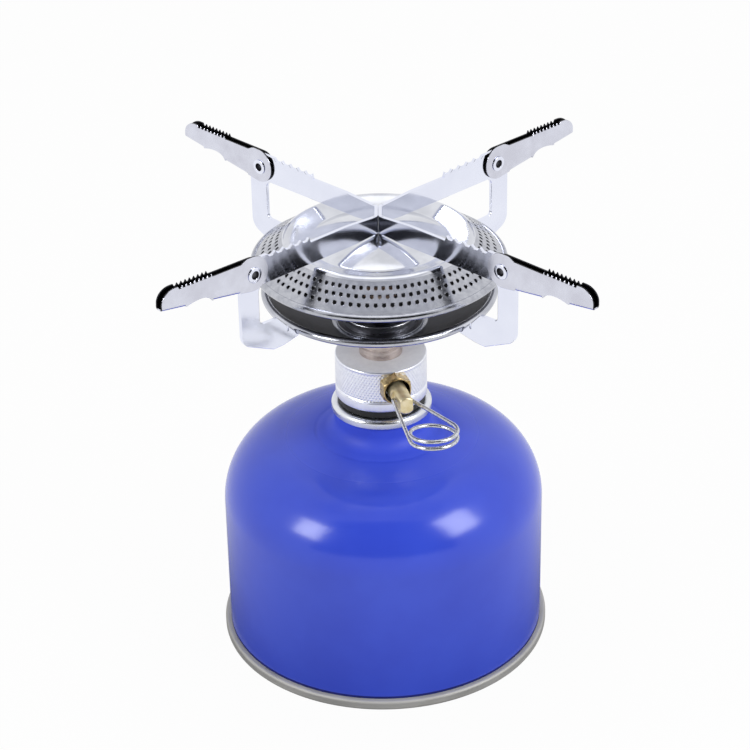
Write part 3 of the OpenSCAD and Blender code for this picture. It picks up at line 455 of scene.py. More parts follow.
end_right, end_left = loop_touch(hook_right, 1), loop_touch(hook_left, -1)
leg_right, leg_left = (v / np.linalg.norm(v)
                       for v in (end_right - hook_right, end_left - hook_left))
a_right = np.arctan2(*(end_right - loop_mid)[::-1])
a_left = np.arctan2(*(end_left - loop_mid)[::-1])
coil_k = np.linspace(0, 1, 140)
coil_a = a_right - (a_right - a_left + 2 * np.pi) * coil_k
leg_k = np.linspace(0.08, 0.92, 12)[:, None]
bend_right = eased_bend(hook_right - BEND * slant, hook_right, hook_right + BEND * leg_right, 22)
bend_left = eased_bend(hook_left + BEND * leg_left, hook_left, hook_left + BEND * slant, 22)
flat_line = np.concatenate([
    [hook_mid + WIRE_D / 4 * slant], bend_right,
    bend_right[-1] + (end_right - bend_right[-1]) * leg_k,
    loop_mid + LOOP_R * np.stack([np.cos(coil_a), np.sin(coil_a)], -1),
    end_left + (bend_left[0] - end_left) * leg_k, bend_left, [hook_mid - WIRE_D / 4 * slant]])
line_up = np.concatenate([
    np.zeros(23), LOOP_RISE / 2 * leg_k[:, 0], LOOP_RISE * (0.5 - coil_k),
    -LOOP_RISE / 2 * (1 - leg_k[:, 0]), np.zeros(23)])
wire_path = valve_place(flat_line[:, 0], flat_line[:, 1], line_up)
hinge = slant[0] * valve_out + slant[1] * valve_right
lift = np.array(Matrix.Rotation(-HANDLE_LIFT, 3, Vector(hinge)))
hook_place = valve_place(CROSS_A, 0.0, 0.0)
wire_path = (wire_path - hook_place) @ lift.T + hook_place

# Hard-drawn wire, zinc bright: a light mirror with faint lines along the wire.
wire_steel = mottled("bright_drawn_wire", "#b4b6bd", "#d8dae0", 1.0, (0.15, 0.28), 0.003,
                     Metallic=1.0)
make_piece("wire_handle_bent", tube(wire_path, WIRE_D / 2, 24, valve_up), wire_steel,
           "wire_handle", ["wire_handle"])


# Mixing tube
# A bronze tube that stands in the body and carries the burner; gas and air mix in it.
# Four air holes pierce it, so its solid stays as it is.

# Turned bronze: greyish brown metal, with heat-darkened patches and lines round the tube.
bronze = mottled("turned_bronze", "#bfb0a8", "#dcd0ca", 3, (0.24, 0.4), 0.004, (0.5, 0.5, 2.5),
                 Metallic=1.0)
coat_solid("mixing_tube", bronze)


# Reflector dish
# A shallow dish spun from steel sheet with a rolled rim. It keeps wind from the flame and holds
# the feet of the pot support. Polished outside; inside, its colour is darkened as painted shade
# under the burner.

DISH_Z, DISH_R, RIM_Z, RIM_BEAD, SHEET, HUB_R = 115.206, 36.7, 127.106, 1.3, 0.6, 11.0
dish_foot = np.array([15.0, DISH_Z])
dish_lip = np.array([DISH_R - RIM_BEAD + SHEET / 2, RIM_Z])
dish_belly = (dish_foot + dish_lip) / 2 + 1.9 * np.array([0.58, -1])
dish_in = np.array([-SHEET / 2, SHEET * 0.9])
dish_line = np.concatenate([
    [[TUBE_BORE, DISH_Z], [HUB_R, DISH_Z]], eased_bend(dish_foot, dish_belly, dish_lip, 30),
    arc(DISH_R, RIM_Z, RIM_BEAD, 218, 500, 34)[1:-1],
    eased_bend(dish_foot + dish_in, dish_belly + dish_in, dish_lip - [SHEET, 0], 30)[::-1],
    [[HUB_R, DISH_Z + SHEET], [TUBE_BORE, DISH_Z + SHEET]]])

# Spun stainless steel: a bright mirror drawn out along the spinning lines round the axis.
spun_steel = mottled("spun_stainless_steel", "#a9abb4", "#c9cbd4", 6, (0.18, 0.28), 0.003,
                     (0.4, 0.4, 3), Metallic=1.0)
# Dark pressed steel: dark grey metal with a dull, uneven sheen. On the burner pan it is the metal's
# heat-darkened colour; inside the dish, on the washer and nut and in the rivet bores it is painted
# shade.
heat_dark_and_shaded_steel = mottled("heat_darkened_and_shaded_steel", "#5a5a5f", "#707076", 5, (0.28, 0.46), 0.006,
                     Metallic=1.0)


def dish_inside(middle):
    """True for the dish's inner wall: above the middle of its sheet, between hub and rim."""
    r = np.hypot(middle[:, 0], middle[:, 1])
    sheet_mid = np.interp(r, dish_line[2:32, 0], dish_line[2:32, 1]) + SHEET / 2
    return (r > 15.6) & (r < DISH_R - RIM_BEAD - 0.1) & (middle[:, 2] > sheet_mid)


# The dish's inner wall takes the dark steel as painted shade under the burner.
make_piece("reflector_dish_spun", turned(dish_line, 256), spun_steel, "stove",
           ["reflector_dish"], 32, (heat_dark_and_shaded_steel, dish_inside))


# Washer and nut in the dish
# A stamped steel washer and a round nut, screwed on the tube, clamp the dish.
# Both are coloured dark as painted shade inside the dish; their outer edges take the bright steel
# as painted highlights.

def outside(radius):
    """A test of face centres: true farther than radius from the Z axis."""
    return lambda middle: np.hypot(middle[:, 0], middle[:, 1]) > radius


WASHER_R, WASHER_Z, NUT_R, NUT_Z, PAN_Z = 14.0, 115.806, 12.45, 116.306, 119.506
washer_line = np.concatenate([
    [[TUBE_BORE, WASHER_Z]], arc(WASHER_R - 0.1, WASHER_Z + 0.1, 0.1, -90, 0, 3),
    arc(WASHER_R - 0.1, NUT_Z - 0.1, 0.1, 0, 90, 3), [[TUBE_BORE, NUT_Z]]])
# Painted shade and highlight: the washer and nut are dark steel, and their outer rims bright steel.
make_piece("dish_washer_stamped", turned(washer_line), heat_dark_and_shaded_steel, "stove",
           ["dish_washer"], 32, (cup_steel, outside(WASHER_R - 0.3)))
nut_line = np.concatenate([
    [[TUBE_BORE, NUT_Z]], arc(NUT_R - 0.2, NUT_Z + 0.2, 0.2, -90, 0, 4),
    arc(NUT_R - 0.7, PAN_Z - 0.7, 0.7, 0, 90, 8), [[TUBE_BORE, PAN_Z]]])
make_piece("dish_nut_turned", turned(nut_line), heat_dark_and_shaded_steel, "stove", ["dish_nut"], 32,
           (cup_steel, outside(NUT_R - 0.65)))


# Burner pan
# The lower half of the burner head, pressed from steel sheet.
# It sits on the tube, and its edge lies in the cap's rolled rim.

PAN_EDGE, CAP_Z, THROAT_Z, COLLAR_R = 38.65, 137.506, 126.706, 8.23
pan_line = np.concatenate([
    [[TUBE_BORE, PAN_Z], [COLLAR_R, PAN_Z], [COLLAR_R, THROAT_Z - 1.4]],
    arc(COLLAR_R + 0.8, THROAT_Z - 1.4, 0.8, 180, 90, 6),
    eased_bend(np.array([HUB_R, THROAT_Z - SHEET]), np.array([12.4, THROAT_Z - SHEET]),
               np.array([14.0, THROAT_Z + 0.4]), 8),
    eased_bend(np.array([34.6, CAP_Z - 1.3]), np.array([36.2, CAP_Z - SHEET]),
               np.array([PAN_EDGE, CAP_Z - SHEET]), 8),
    [[PAN_EDGE, CAP_Z], [36.05, CAP_Z], [11.93, THROAT_Z], [TUBE_BORE, THROAT_Z]]])
make_piece("burner_pan_pressed", turned(pan_line), heat_dark_and_shaded_steel, "stove",
           ["burner_pan"])


# Burner cap
# The upper half of the burner head, pressed from stainless sheet and polished.
# 270 flame holes in three staggered rows pierce its cone, inside a rolled rim.

CREST_R, CAP_BEAD, CAP_BEAD_R = 29.5, 1.15, 39.9
PLATE_R, PLATE_Z, PLATE_DOME = 22.3, 144.606, 3.4
HOLES, HOLE_R, ROW_STEP, SEGMENTS = 90, 0.66, 2.25, 6
cone_top, cone_foot = np.array([30.5, 145.806]), np.array([39.7, 138.456])
cone_fall = (cone_top[1] - cone_foot[1]) / (cone_foot[0] - cone_top[0])
cone_normal = np.array([cone_fall, 1]) / np.hypot(cone_fall, 1)


def cone_at(r, depth):
    """Radius and height of the cone at each r, sunk by depth square to its face."""
    r = np.atleast_1d(r)
    return np.stack([r - depth * cone_normal[0],
                     cone_top[1] - (r - cone_top[0]) * cone_fall - depth * cone_normal[1]], -1)


def pierced_row(middle, shift):
    """One row of flame holes: each hole's square cell is filled by rings of points that pass from
    the square's edge to the circle, on the outer face, down the hole, and on the inner face."""
    n = SEGMENTS
    along = np.linspace(-1, 1, n, endpoint=False)
    up = np.linspace(-1, 1, 4, endpoint=False)
    edge_p = np.concatenate([along, np.ones(4), -along, -np.ones(4)])
    edge_q = np.concatenate([-np.ones(n), up, np.ones(n), -up])
    half_t, half_r = np.pi / HOLES, ROW_STEP / 2
    bearing = np.arctan2(edge_q, edge_p * middle * half_t / (half_r * np.hypot(1, cone_fall)))
    hole_t = HOLE_R * np.cos(bearing) / middle
    hole_r = HOLE_R * np.sin(bearing) / np.hypot(1, cone_fall)
    blend = np.array([0, 0.5, 0.9, 1, 1, 1, 0.5, 0])[:, None]
    depth = np.array([0, 0, 0, 0.12, SHEET - 0.1, SHEET, SHEET, SHEET])[:, None]
    swell = np.array([0, 0, 1.16, 1, 1, 1.1, 1.1, 0])[:, None]
    t = (1 - blend) * edge_p * half_t + blend * hole_t * swell
    r = middle + (1 - blend) * edge_q * half_r + blend * hole_r * swell
    centres = (np.arange(HOLES) + shift) * 2 * np.pi / HOLES
    radius, height = np.moveaxis(cone_at(r, depth), -1, 0)
    t = centres[:, None, None] + t
    cells = np.stack([radius * np.cos(t), radius * np.sin(t), np.broadcast_to(height, t.shape)], -1)
    one = grid_faces(8, len(edge_p), closed_n=False)
    faces = (np.arange(HOLES) * 8 * len(edge_p))[:, None, None] + one[None]
    return cells.reshape(-1, 3), faces.reshape(-1, 4)


row_mid = CREST_R + 3 + ROW_STEP * np.arange(3)
pierced = [pierced_row(m, 0.5 * (i % 2)) for i, m in enumerate(row_mid)]
hole_in, hole_out = row_mid[0] - ROW_STEP / 2, row_mid[2] + ROW_STEP / 2
plate_k = np.linspace(1, 0, 30)
plate_line = np.stack([PLATE_R * plate_k, PLATE_Z + PLATE_DOME * (1 - plate_k ** 2)], -1)
crest = np.concatenate([
    cone_at(hole_in, 0), eased_bend(np.array([30.7, 145.646]), np.array([29.75, 146.65]),
                                    np.array([28.6, 146.35]), 14),
    eased_bend(np.array([27.6, 146.03]), np.array([23.6, 144.75]), plate_line[0], 12),
    plate_line[1:]])
rim = np.concatenate([cone_at(hole_out, 0), cone_at(38.7, 0),
                      arc(CAP_BEAD_R, CAP_Z, CAP_BEAD, 112, -195, 34), cone_at(hole_out, SHEET)])
cap_steps = HOLES * SEGMENTS
inner_skin = np.concatenate([cone_at(hole_in, SHEET), crest[1:] - [0, SHEET]])
cap_parts = [*pierced, *(turned(line, cap_steps, False) for line in (crest, inner_skin, rim))]


def joined(parts):
    """Several shapes as one: their points in a row, their faces renumbered to match."""
    start = np.cumsum([0] + [len(p) for p, f in parts])
    return np.concatenate([p for p, f in parts]), [f + s for (p, f), s in zip(parts, start)]


# Polished stainless steel: close to a true mirror, with a light polishing haze and fine
# scratches that soften the picture in it.
polished_steel = mottled("polished_stainless_steel", "#cbcdd5", "#dcdee5", 9, (0.09, 0.16), 0.0012,
                         Metallic=1.0)
# Pierced stainless steel: the press left the cone and rim satin, so they show only soft streaks.
pierced_steel = mottled("pierced_stainless_steel", "#adafb8", "#c0c2ca", 2, (0.18, 0.27), 0.002,
                        Metallic=1.0)
make_piece("burner_cap_pierced", joined(cap_parts), polished_steel, "stove",
           ["burner_cap"], 40, (pierced_steel, outside(cone_top[0] + 0.2)))


# Pot support
# Two stainless strips, each bent twice near its middle, lie back to back over the burner.
# Their ends hang down outside the dish and hook under its rim.

PIVOT_R, PIVOT_Z, RIVET_R, POST_TOP_R, POST_IN, POST_OUT = 53.95, 152.906, 1.75, 5.35, 51.95, 59.3
STRIP_T, STRIP_BEND, STRIP_FLAT, STRIP_MID = 1.2, 1.5, 5.9, 0.63
STAND_TURN, LEG_ANGLE, BEND_ANGLE = -0.7, 42.7, 47.3
STRIP_TOP, STRIP_PLAIN, STRIP_LOW = PIVOT_Z + 4.6, PIVOT_Z + 2.5, PIVOT_Z - 5.5
MID_HIGH, MID_LOW, STRIP_EDGE = STRIP_PLAIN - 0.7, STRIP_PLAIN - 6.9, 0.16
TEETH, TOOTH_STEP, TOOTH_H, TOOTH_FALL = 5, 3.45, 0.9, 0.03
bend_reach = STRIP_BEND * np.tan(np.radians(BEND_ANGLE / 2))
leg_cos, leg_sin = np.cos(np.radians(LEG_ANGLE)), np.sin(np.radians(LEG_ANGLE))
STRIP_OFF = (STRIP_FLAT / 2 + bend_reach) * leg_cos - STRIP_MID * leg_sin
LEG_START = (STRIP_FLAT / 2 + bend_reach) * leg_sin + STRIP_MID * leg_cos + bend_reach


def saw(x, z, count, pitch, fall):
    """Corners of a saw edge that runs inwards from (x, z): each tooth has a flat top, a valley
    TOOTH_H deep, and the line of the tops drops by fall per millimetre."""
    i = np.arange(count)[:, None]
    along = i + np.array([0.1, 0.35, 0.75])
    low = np.array([0, 1, 1]) * TOOTH_H
    return np.stack([x - pitch * along, z - fall * pitch * np.where(low > 0, along, i) - low],
                    -1).reshape(-1, 2)


def cut_sheet(outline, holes, thickness, edge):
    """A flat sheet cut to an outline, with holes: the flat curve is filled, made as thick as the
    sheet and its edges rounded by edge. Returns x along, y across and z up, and triangles."""
    curve = bpy.data.curves.new("cut", "CURVE")
    curve.dimensions, curve.fill_mode = "2D", "BOTH"
    curve.extrude, curve.bevel_depth = thickness / 2 - edge, edge
    curve.bevel_resolution, curve.offset = 2, -edge
    for line in (outline, *holes):
        spline = curve.splines.new("POLY")
        spline.points.add(len(line) - 1)
        flat = np.concatenate([line, np.zeros((len(line), 1)), np.ones((len(line), 1))], 1)
        spline.points.foreach_set("co", flat.ravel())
        spline.use_cyclic_u = True
    holder = bpy.data.objects.new("cut", curve)
    mesh = bpy.data.meshes.new_from_object(holder)
    mesh.calc_loop_triangles()
    points = np.zeros(len(mesh.vertices) * 3)
    mesh.vertices.foreach_get("co", points)
    corners = np.zeros(len(mesh.loop_triangles) * 3, np.int32)
    mesh.loop_triangles.foreach_get("vertices", corners)
    points = points.reshape(-1, 3)
    bpy.data.objects.remove(holder)
    bpy.data.meshes.remove(mesh)
    bpy.data.curves.remove(curve)
    return np.stack([points[:, 0], -points[:, 2], points[:, 1]], -1), corners.reshape(-1, 3)


def placed(shape, bearing, side):
    """A sheet in its place: set aside by side times STRIP_OFF, then turned to its bearing."""
    points, faces = shape
    a = np.radians(bearing)
    x, y, z = points[:, 0], points[:, 1] + side * STRIP_OFF, points[:, 2]
    return np.stack([x * np.cos(a) - y * np.sin(a), x * np.sin(a) + y * np.cos(a), z], -1), faces


tooth_x = PIVOT_R - 5.65
tooth_end = tooth_x - TEETH * TOOTH_STEP
rim_x = np.sqrt(DISH_R ** 2 - STRIP_OFF ** 2)
foot_low, foot_top, peak_r, slot_r = RIM_Z - 3.1, RIM_Z + 7.2, 44.95, rim_x + 4.3
leg_line = np.concatenate([
    [[LEG_START, MID_LOW], [LEG_START, MID_HIGH], [LEG_START + 1.4, MID_HIGH],
     [LEG_START + 12.2, STRIP_PLAIN], [tooth_end - 0.5, STRIP_PLAIN],
     [tooth_end, STRIP_TOP - TOOTH_FALL * TEETH * TOOTH_STEP]],
    saw(tooth_x, STRIP_TOP, TEETH, TOOTH_STEP, TOOTH_FALL)[::-1], [[tooth_x, STRIP_TOP]],
    arc(PIVOT_R, PIVOT_Z, POST_TOP_R, 59.3, 0, 14), arc(POST_OUT - 5, foot_low + 9, 5, 0, -60, 12),
    [[peak_r + 2, foot_low], [slot_r + 2, foot_low], [slot_r - 1, foot_low + 0.5],
     [rim_x, foot_low + 1.2]],
    arc(rim_x, RIM_Z, RIM_BEAD + 0.09, -90, 3.6, 12),
    [[slot_r - 0.3, RIM_Z + 2.7], [slot_r - 0.3, RIM_Z + 1.3], [slot_r + 0.3, RIM_Z + 1.3],
     [slot_r + 0.3, RIM_Z + 3.2], [peak_r, foot_top]],
    arc(POST_IN - 1.5, foot_top + 1.7, 1.5, -90, 0, 8),
    arc(POST_IN - 3, STRIP_LOW - 2, 3, 0, 60, 8),
    [[LEG_START + 8.2, STRIP_LOW + 0.6], [LEG_START + 1.4, MID_LOW]]])
leg = cut_sheet(leg_line, [arc(PIVOT_R, PIVOT_Z, RIVET_R + GAP, 0, 345, 24)], STRIP_T, STRIP_EDGE)


def strip_middle(bearing):
    """The strip's flat and its two bends: an upright rectangle with rounded edges, carried along a
    circle's arc, a straight line and another arc, and a little way into both legs. Each end is
    closed by a last ring drawn together at its middle."""
    side, high, low = STRIP_T / 2 - 0.01 - STRIP_EDGE, MID_HIGH - STRIP_EDGE, MID_LOW + STRIP_EDGE
    cross = np.concatenate([
        arc(x, z, STRIP_EDGE, a, a + 90, 4)
        for x, z, a in ((side, high, 0), (-side, high, 90), (-side, low, 180), (side, low, 270))])
    a = np.radians(np.concatenate([np.linspace(180 + BEND_ANGLE, 180, 14),
                                   np.linspace(180, 180 - BEND_ANGLE, 14)]))
    way = np.stack([np.cos(a), np.sin(a)], -1)
    middle = np.stack([np.full(28, STRIP_MID + STRIP_BEND),
                       np.repeat([-1, 1], 14) * STRIP_FLAT / 2], -1)
    line = middle + STRIP_BEND * way
    ahead = np.stack([way[:, 1], -way[:, 0]], -1)
    line = np.concatenate([line[:1] - 0.7 * ahead[:1], line, line[-1:] + 0.7 * ahead[-1:]])
    way = np.concatenate([way[:1], way, way[-1:]])
    flat = line[:, None] + cross[None, :, :1] * way[:, None]
    tall = np.broadcast_to(cross[None, :, 1:], (*flat.shape[:2], 1))
    b = np.radians(bearing)
    turn = np.array([[np.cos(b), np.sin(b)], [-np.sin(b), np.cos(b)]])
    points = np.concatenate([flat @ turn, tall], -1)
    ends = np.repeat(points[[0, -1]].mean(axis=1, keepdims=True), len(cross), axis=1)
    points = np.concatenate([ends[:1], points, ends[1:]])
    return points.reshape(-1, 3), grid_faces(len(points), len(cross), closed_n=False)


# Rolled stainless strip, tumbled bright: a pale mirror with a faint blue cast and a light haze.
strip_steel = mottled("tumbled_stainless_strip", "#e2e5f3", "#e8ebf8", 14, (0.09, 0.14), 0.0008,
                      Metallic=1.0)
for hand, bearing in (("left", 180 + STAND_TURN), ("right", STAND_TURN)):
    strip = [placed(leg, bearing - LEG_ANGLE, -1), placed(leg, bearing + LEG_ANGLE, 1),
             strip_middle(bearing)]
    make_piece("pot_support_%s_bent" % hand, joined(strip), strip_steel, "stove",
               ["pot_support_" + hand], 12)


# Pivot rivets
# Four hollow steel rivets hold the folding arms on the posts.
# Each goes through its post and both walls of its arm, and is rolled over at both ends.

SIDES = np.array([-1, 1, -1, 1])
BEARINGS = np.array([0, 0, 180, 180]) + SIDES * LEG_ANGLE + STAND_TURN
RIVET_HALF, RIVET_HEAD, RIVET_BORE = 1.95, 0.4, 1.3
roll_over = np.concatenate([arc(RIVET_BORE + 0.2, RIVET_HALF - 0.2, 0.2, 180, 84, 6),
                            arc(2.38, RIVET_HALF - 0.22, 0.12, 84, -60, 6)])
rivet_line = np.concatenate([roll_over, [[RIVET_R, RIVET_HALF - RIVET_HEAD],
                                         [RIVET_R, RIVET_HEAD - RIVET_HALF]],
                             roll_over[::-1] * [1, -1]])


def rivet(bearing, side):
    """A rivet turned about Z, laid down across its post and brought to its bearing."""
    points, faces = turned(rivet_line, 48)
    x, y, z = points.T
    return placed((np.stack([x + PIVOT_R, -z, y + PIVOT_Z], -1), faces), bearing, side)


def rivet_bore(middle):
    """True on the wall of the bore, near its rivet's axis."""
    a = np.radians(BEARINGS)
    out = middle[:, :1] * np.cos(a) + middle[:, 1:2] * np.sin(a)
    return np.any(np.hypot(out - PIVOT_R, middle[:, 2:] - PIVOT_Z) < RIVET_BORE + 0.1, axis=1)


# The rivets' bores take the dark steel as painted shade inside the holes.
make_piece("pivot_rivets_rolled", joined([rivet(b, s) for b, s in zip(BEARINGS, SIDES)]),
           strip_steel, "stove", ["pivot_rivets"], 40, (heat_dark_and_shaded_steel, rivet_bore))


# Folding arms
# Each arm is a stainless blank folded into a U, with saw teeth on both upper edges that grip a pot.
# The fold's outside is tumbled bright; its inside is coloured almost black as painted shade.

ARM_L, ARM_TOP, ARM_DIP, EAR_RISE, ARM_TEETH, ARM_STEP = 35.4, 5.9, 1.0, 0.2, 8, 1.6
ARM_W, ARM_SHEET, ARM_BEND, ARM_SLOPE = 3.0, 0.6, 0.9, 8.25
WEB_IN, SCOOP_A, SCOOP_B, EAR_X, EAR_Z = 5.8, 16.6, 26.0, 0.3, 0.4
EAR_R = ARM_TOP + EAR_RISE - EAR_Z
edge_start = arc(EAR_X, EAR_Z, EAR_R, 0, 270 + ARM_SLOPE, 2)[1]


def arm_edge(u):
    """Height of the arm's lower edge at the distance u from its pivot: a straight line that
    rises outwards and touches the round ear."""
    return edge_start[1] + (u - edge_start[0]) * np.tan(np.radians(ARM_SLOPE))


arm_teeth_x = ARM_L - 6.1
arm_teeth_end = arm_teeth_x - ARM_TEETH * ARM_STEP
arm_plain, ear_top, scoop_top = ARM_TOP - ARM_DIP, ARM_TOP + EAR_RISE, arm_edge(SCOOP_B) + 0.8
scoop_start = np.array([SCOOP_A, arm_edge(SCOOP_A) + 0.15])
scoop_mid = np.array([SCOOP_A + 4.6, scoop_top])


def arm_wall(high):
    """One wall of an arm, cut from sheet, with a high or a low ear: the ear's arc, the lower edge
    with its scoop, the rounded tip, the saw teeth and the plain edge back to the ear."""
    r = EAR_R if high else arm_plain - EAR_Z
    rise = [[EAR_X + 4.9, arm_plain], [EAR_X + 3.2, ear_top - 0.3], [EAR_X + 2.1, ear_top]]
    outline = np.concatenate([
        arc(EAR_X, EAR_Z, r, 180, 270 + ARM_SLOPE, 22),
        [[WEB_IN - 0.35, arm_edge(WEB_IN - 0.35)], [WEB_IN, arm_edge(WEB_IN) + ARM_BEND],
         [SCOOP_A - 0.6, arm_edge(SCOOP_A) + ARM_BEND - 0.1],
         [SCOOP_A - 0.5, arm_edge(SCOOP_A) - 0.02], [SCOOP_A - 0.12, arm_edge(SCOOP_A) + 0.03]],
        eased_bend(scoop_start, np.array([SCOOP_A + 0.9, scoop_top]), scoop_mid, 10),
        eased_bend(scoop_mid, np.array([SCOOP_B - 2.4, scoop_top]),
                   np.array([SCOOP_B, arm_edge(SCOOP_B) + 0.02]), 8)[1:],
        [[SCOOP_B + 0.5, arm_edge(SCOOP_B) + 0.1],
         [SCOOP_B + 0.6, arm_edge(SCOOP_B) + ARM_BEND + 0.1], [ARM_L, arm_edge(ARM_L) + ARM_BEND]],
        arc(0, 0, 1, 0, 90, 14) * [5, 4.2] + [ARM_L - 5, ARM_TOP - 4.2],
        saw(arm_teeth_x, ARM_TOP, ARM_TEETH, ARM_STEP, 0),
        [[arm_teeth_end, ARM_TOP], [arm_teeth_end - 0.4, arm_plain]] + (rise if high else []),
        arc(EAR_X, EAR_Z, r, 90, 175, 20)])
    return cut_sheet(outline, [arc(0, 0, RIVET_R + 0.06, 0, 345, 24)], ARM_SHEET, 0.08)


def fold(u0, u1):
    """The arm's rounded bottom between two distances from the pivot: a U-shaped strip, its outer
    and inner lines carried along the sloping lower edge, closed at both ends."""
    half, r = ARM_W / 2 - 0.012, ARM_BEND
    bend = np.concatenate([[[-half, r + 0.35]], arc(r - half, r, r, 180, 270, 9),
                           arc(half - r, r, r, 270, 360, 9), [[half, r + 0.35]]])
    deep = np.concatenate([[[-1, 0]], arc(0, 0, 1, 180, 270, 9),
                           arc(0, 0, 1, 270, 360, 9), [[1, 0]]])
    loop = np.concatenate([bend, (bend - (ARM_SHEET - 0.024) * deep)[::-1]])
    u = np.array([u0, u0 + 0.05, u1 - 0.05, u1])
    tuck = np.array([0.04, 0, 0, 0.04])[:, None, None]
    core = bend - ARM_SHEET / 2 * deep
    ring = loop + (np.concatenate([core, core[::-1]]) - loop) * tuck
    points = np.stack([np.broadcast_to(u[:, None], ring.shape[:2]), ring[..., 0],
                       ring[..., 1] + arm_edge(u)[:, None]], -1)
    n = len(bend)
    k = np.arange(n - 1)
    ends = [np.stack([s + k, s + k + 1, s + 2 * n - 2 - k, s + 2 * n - 1 - k], -1)
            for s in (0, 3 * 2 * n)]
    return points.reshape(-1, 3), np.concatenate([grid_faces(4, 2 * n, closed_n=False), *ends])


high_wall, low_wall = arm_wall(True), arm_wall(False)

# Tumbled stainless sheet: like the strips, but a shade greyer and mottled where pots rubbed it.
arm_steel = mottled("tumbled_stainless_sheet", "#cccdd9", "#dadce8", 7, (0.11, 0.2), 0.0008,
                    Metallic=1.0)
# Painted shade: the unpolished inside of the fold, dull and coloured almost black for the shade in
# it.
fold_shade_steel = mottled("painted_fold_shade_stainless", "#17171a", "#232327", 2, (0.25, 0.4), Metallic=1.0)


def arm_inside(bearing, side, rise):
    """The test for an arm's inner faces and cut edges: they lie inside the outer skin of its
    walls, and above the middle of the sheet where the fold rounds off below."""
    a = np.radians(bearing)

    def test(middle):
        along = middle[:, 0] * np.cos(a) + middle[:, 1] * np.sin(a) - PIVOT_R
        aside = np.abs(middle[:, 1] * np.cos(a) - middle[:, 0] * np.sin(a) - side * STRIP_OFF)
        up = middle[:, 2] - PIVOT_Z
        u, w = along * np.cos(rise) + up * np.sin(rise), up * np.cos(rise) - along * np.sin(rise)
        over = np.clip(aside - ARM_W / 2 + ARM_BEND, 0, ARM_BEND)
        skin = ARM_BEND - np.sqrt(ARM_BEND ** 2 - over ** 2)
        return (aside < ARM_W / 2 - 0.1) & (w - arm_edge(u) > skin + ARM_SHEET / 2)
    return test


for name, bearing, side, rise, high in zip(("front_right", "back_right", "back_left", "front_left"),
                                           BEARINGS, SIDES, np.radians([-0.9, -0.5, 0.8, 1.4]),
                                           (-1, -1, 1, 1)):
    aside = np.array([0, high * (ARM_W - ARM_SHEET) / 2, 0])
    arm_parts = joined([(high_wall[0] + aside, high_wall[1]), (low_wall[0] - aside, low_wall[1]),
                        fold(WEB_IN, SCOOP_A - 0.48), fold(SCOOP_B + 0.52, ARM_L)])
    u, v, w = arm_parts[0].T
    raised = np.stack([PIVOT_R + u * np.cos(rise) - w * np.sin(rise), v,
                       PIVOT_Z + u * np.sin(rise) + w * np.cos(rise)], -1)
    make_piece("arm_%s_folded" % name, placed((raised, arm_parts[1]), bearing, side), arm_steel,
               "arm_" + name, ["arm_" + name], 12,
               (fold_shade_steel, arm_inside(bearing, side, rise)))


# Studio
# A white floor in a white room, with soft boxes at both sides and above.
# Dark and grey screens give the steel something to mirror, and the camera has a long lens.

def card(name, centre, facing, width, height, finish):
    """A flat stage card of this width and height, square to facing."""
    facing = np.array(facing, float) / np.linalg.norm(facing)
    side = np.cross([0, 0, 1.0], facing) if abs(facing[2]) < 0.99 else np.array([1.0, 0, 0])
    side /= np.linalg.norm(side)
    up = np.cross(facing, side)
    corner = np.array([[-1, -1], [1, -1], [1, 1], [-1, 1]]) / 2 * [width, height]
    mesh = bpy.data.meshes.new(name)
    points = np.array(centre) + corner @ np.stack([side, up])
    mesh.from_pydata(points.tolist(), [], [(0, 1, 2, 3)])
    mesh.materials.append(finish)
    thing = bpy.data.objects.new(name, mesh)
    bpy.context.scene.collection.objects.link(thing)
    return thing


# Matt white paper: the floor. To the camera it is plain white, and it keeps the shade that the
# object throws on it. Near the can's foot a painted shadow darkens its colour and what mirrors see
# of it.
paper, tree, shader = surface("white_paper", Roughness=0.9)
vary(tree, shader, "#c6c6c8", "#cececf", 40)
path = add(tree, "ShaderNodeLightPath")
away = add(tree, "ShaderNodeVectorMath", None, {0: (add(tree, "ShaderNodeTexCoord"), "Object")},
           operation="LENGTH")
# Painted shadow: from 55 to 125 mm off the axis the paper's colour fades in from #858587, and
# mirrors see its white fade in.
shade = add(tree, "ShaderNodeMapRange", {"From Min": 0.055, "From Max": 0.125},
            {"Value": (away, "Value")})
tone = shader.inputs["Base Color"].links[0].from_node
tone = add(tree, "ShaderNodeMix", {6: colour("#858587")},
           {0: (shade, "Result"), 7: (tone, "Color")}, data_type="RGBA")
tree.links.new(tone.outputs[2], shader.inputs["Base Color"])
mirrored = add(tree, "ShaderNodeMath", None, {0: (path, "Is Glossy Ray"), 1: (shade, "Result")},
               operation="MULTIPLY")
seen = add(tree, "ShaderNodeMath", {1: 0.975}, {0: (path, "Is Camera Ray"), 2: (mirrored, "Value")},
           operation="MULTIPLY_ADD")
white = add(tree, "ShaderNodeEmission", {"Color": (1, 1, 1, 1), "Strength": 1.0})
both = add(tree, "ShaderNodeMixShader", None,
           {"Fac": (seen, "Value"), 1: (shader, "BSDF"), 2: (white, "Emission")})
tree.links.new(both.outputs["Shader"], tree.nodes["Material Output"].inputs["Surface"])
card("floor", (0, 0, -0.0001), (0, 0, 1), 6, 6, paper)

world = bpy.data.worlds.new("white_room")
bpy.context.scene.world = world
world.use_nodes = True
tree = world.node_tree
tree.nodes.clear()
path = add(tree, "ShaderNodeLightPath")
seen = add(tree, "ShaderNodeMath", None, {0: (path, "Is Camera Ray"), 1: (path, "Is Glossy Ray")},
           operation="MAXIMUM")
level = add(tree, "ShaderNodeMapRange", {"To Min": 0.25, "To Max": 1.0}, {"Value": (seen, "Value")})
glow = add(tree, "ShaderNodeBackground", {"Color": (1, 1, 1, 1)}, {"Strength": (level, "Result")})
add(tree, "ShaderNodeOutputWorld", None, {"Surface": (glow, "Background")})


AIM = Vector((0, 0, 0.08))


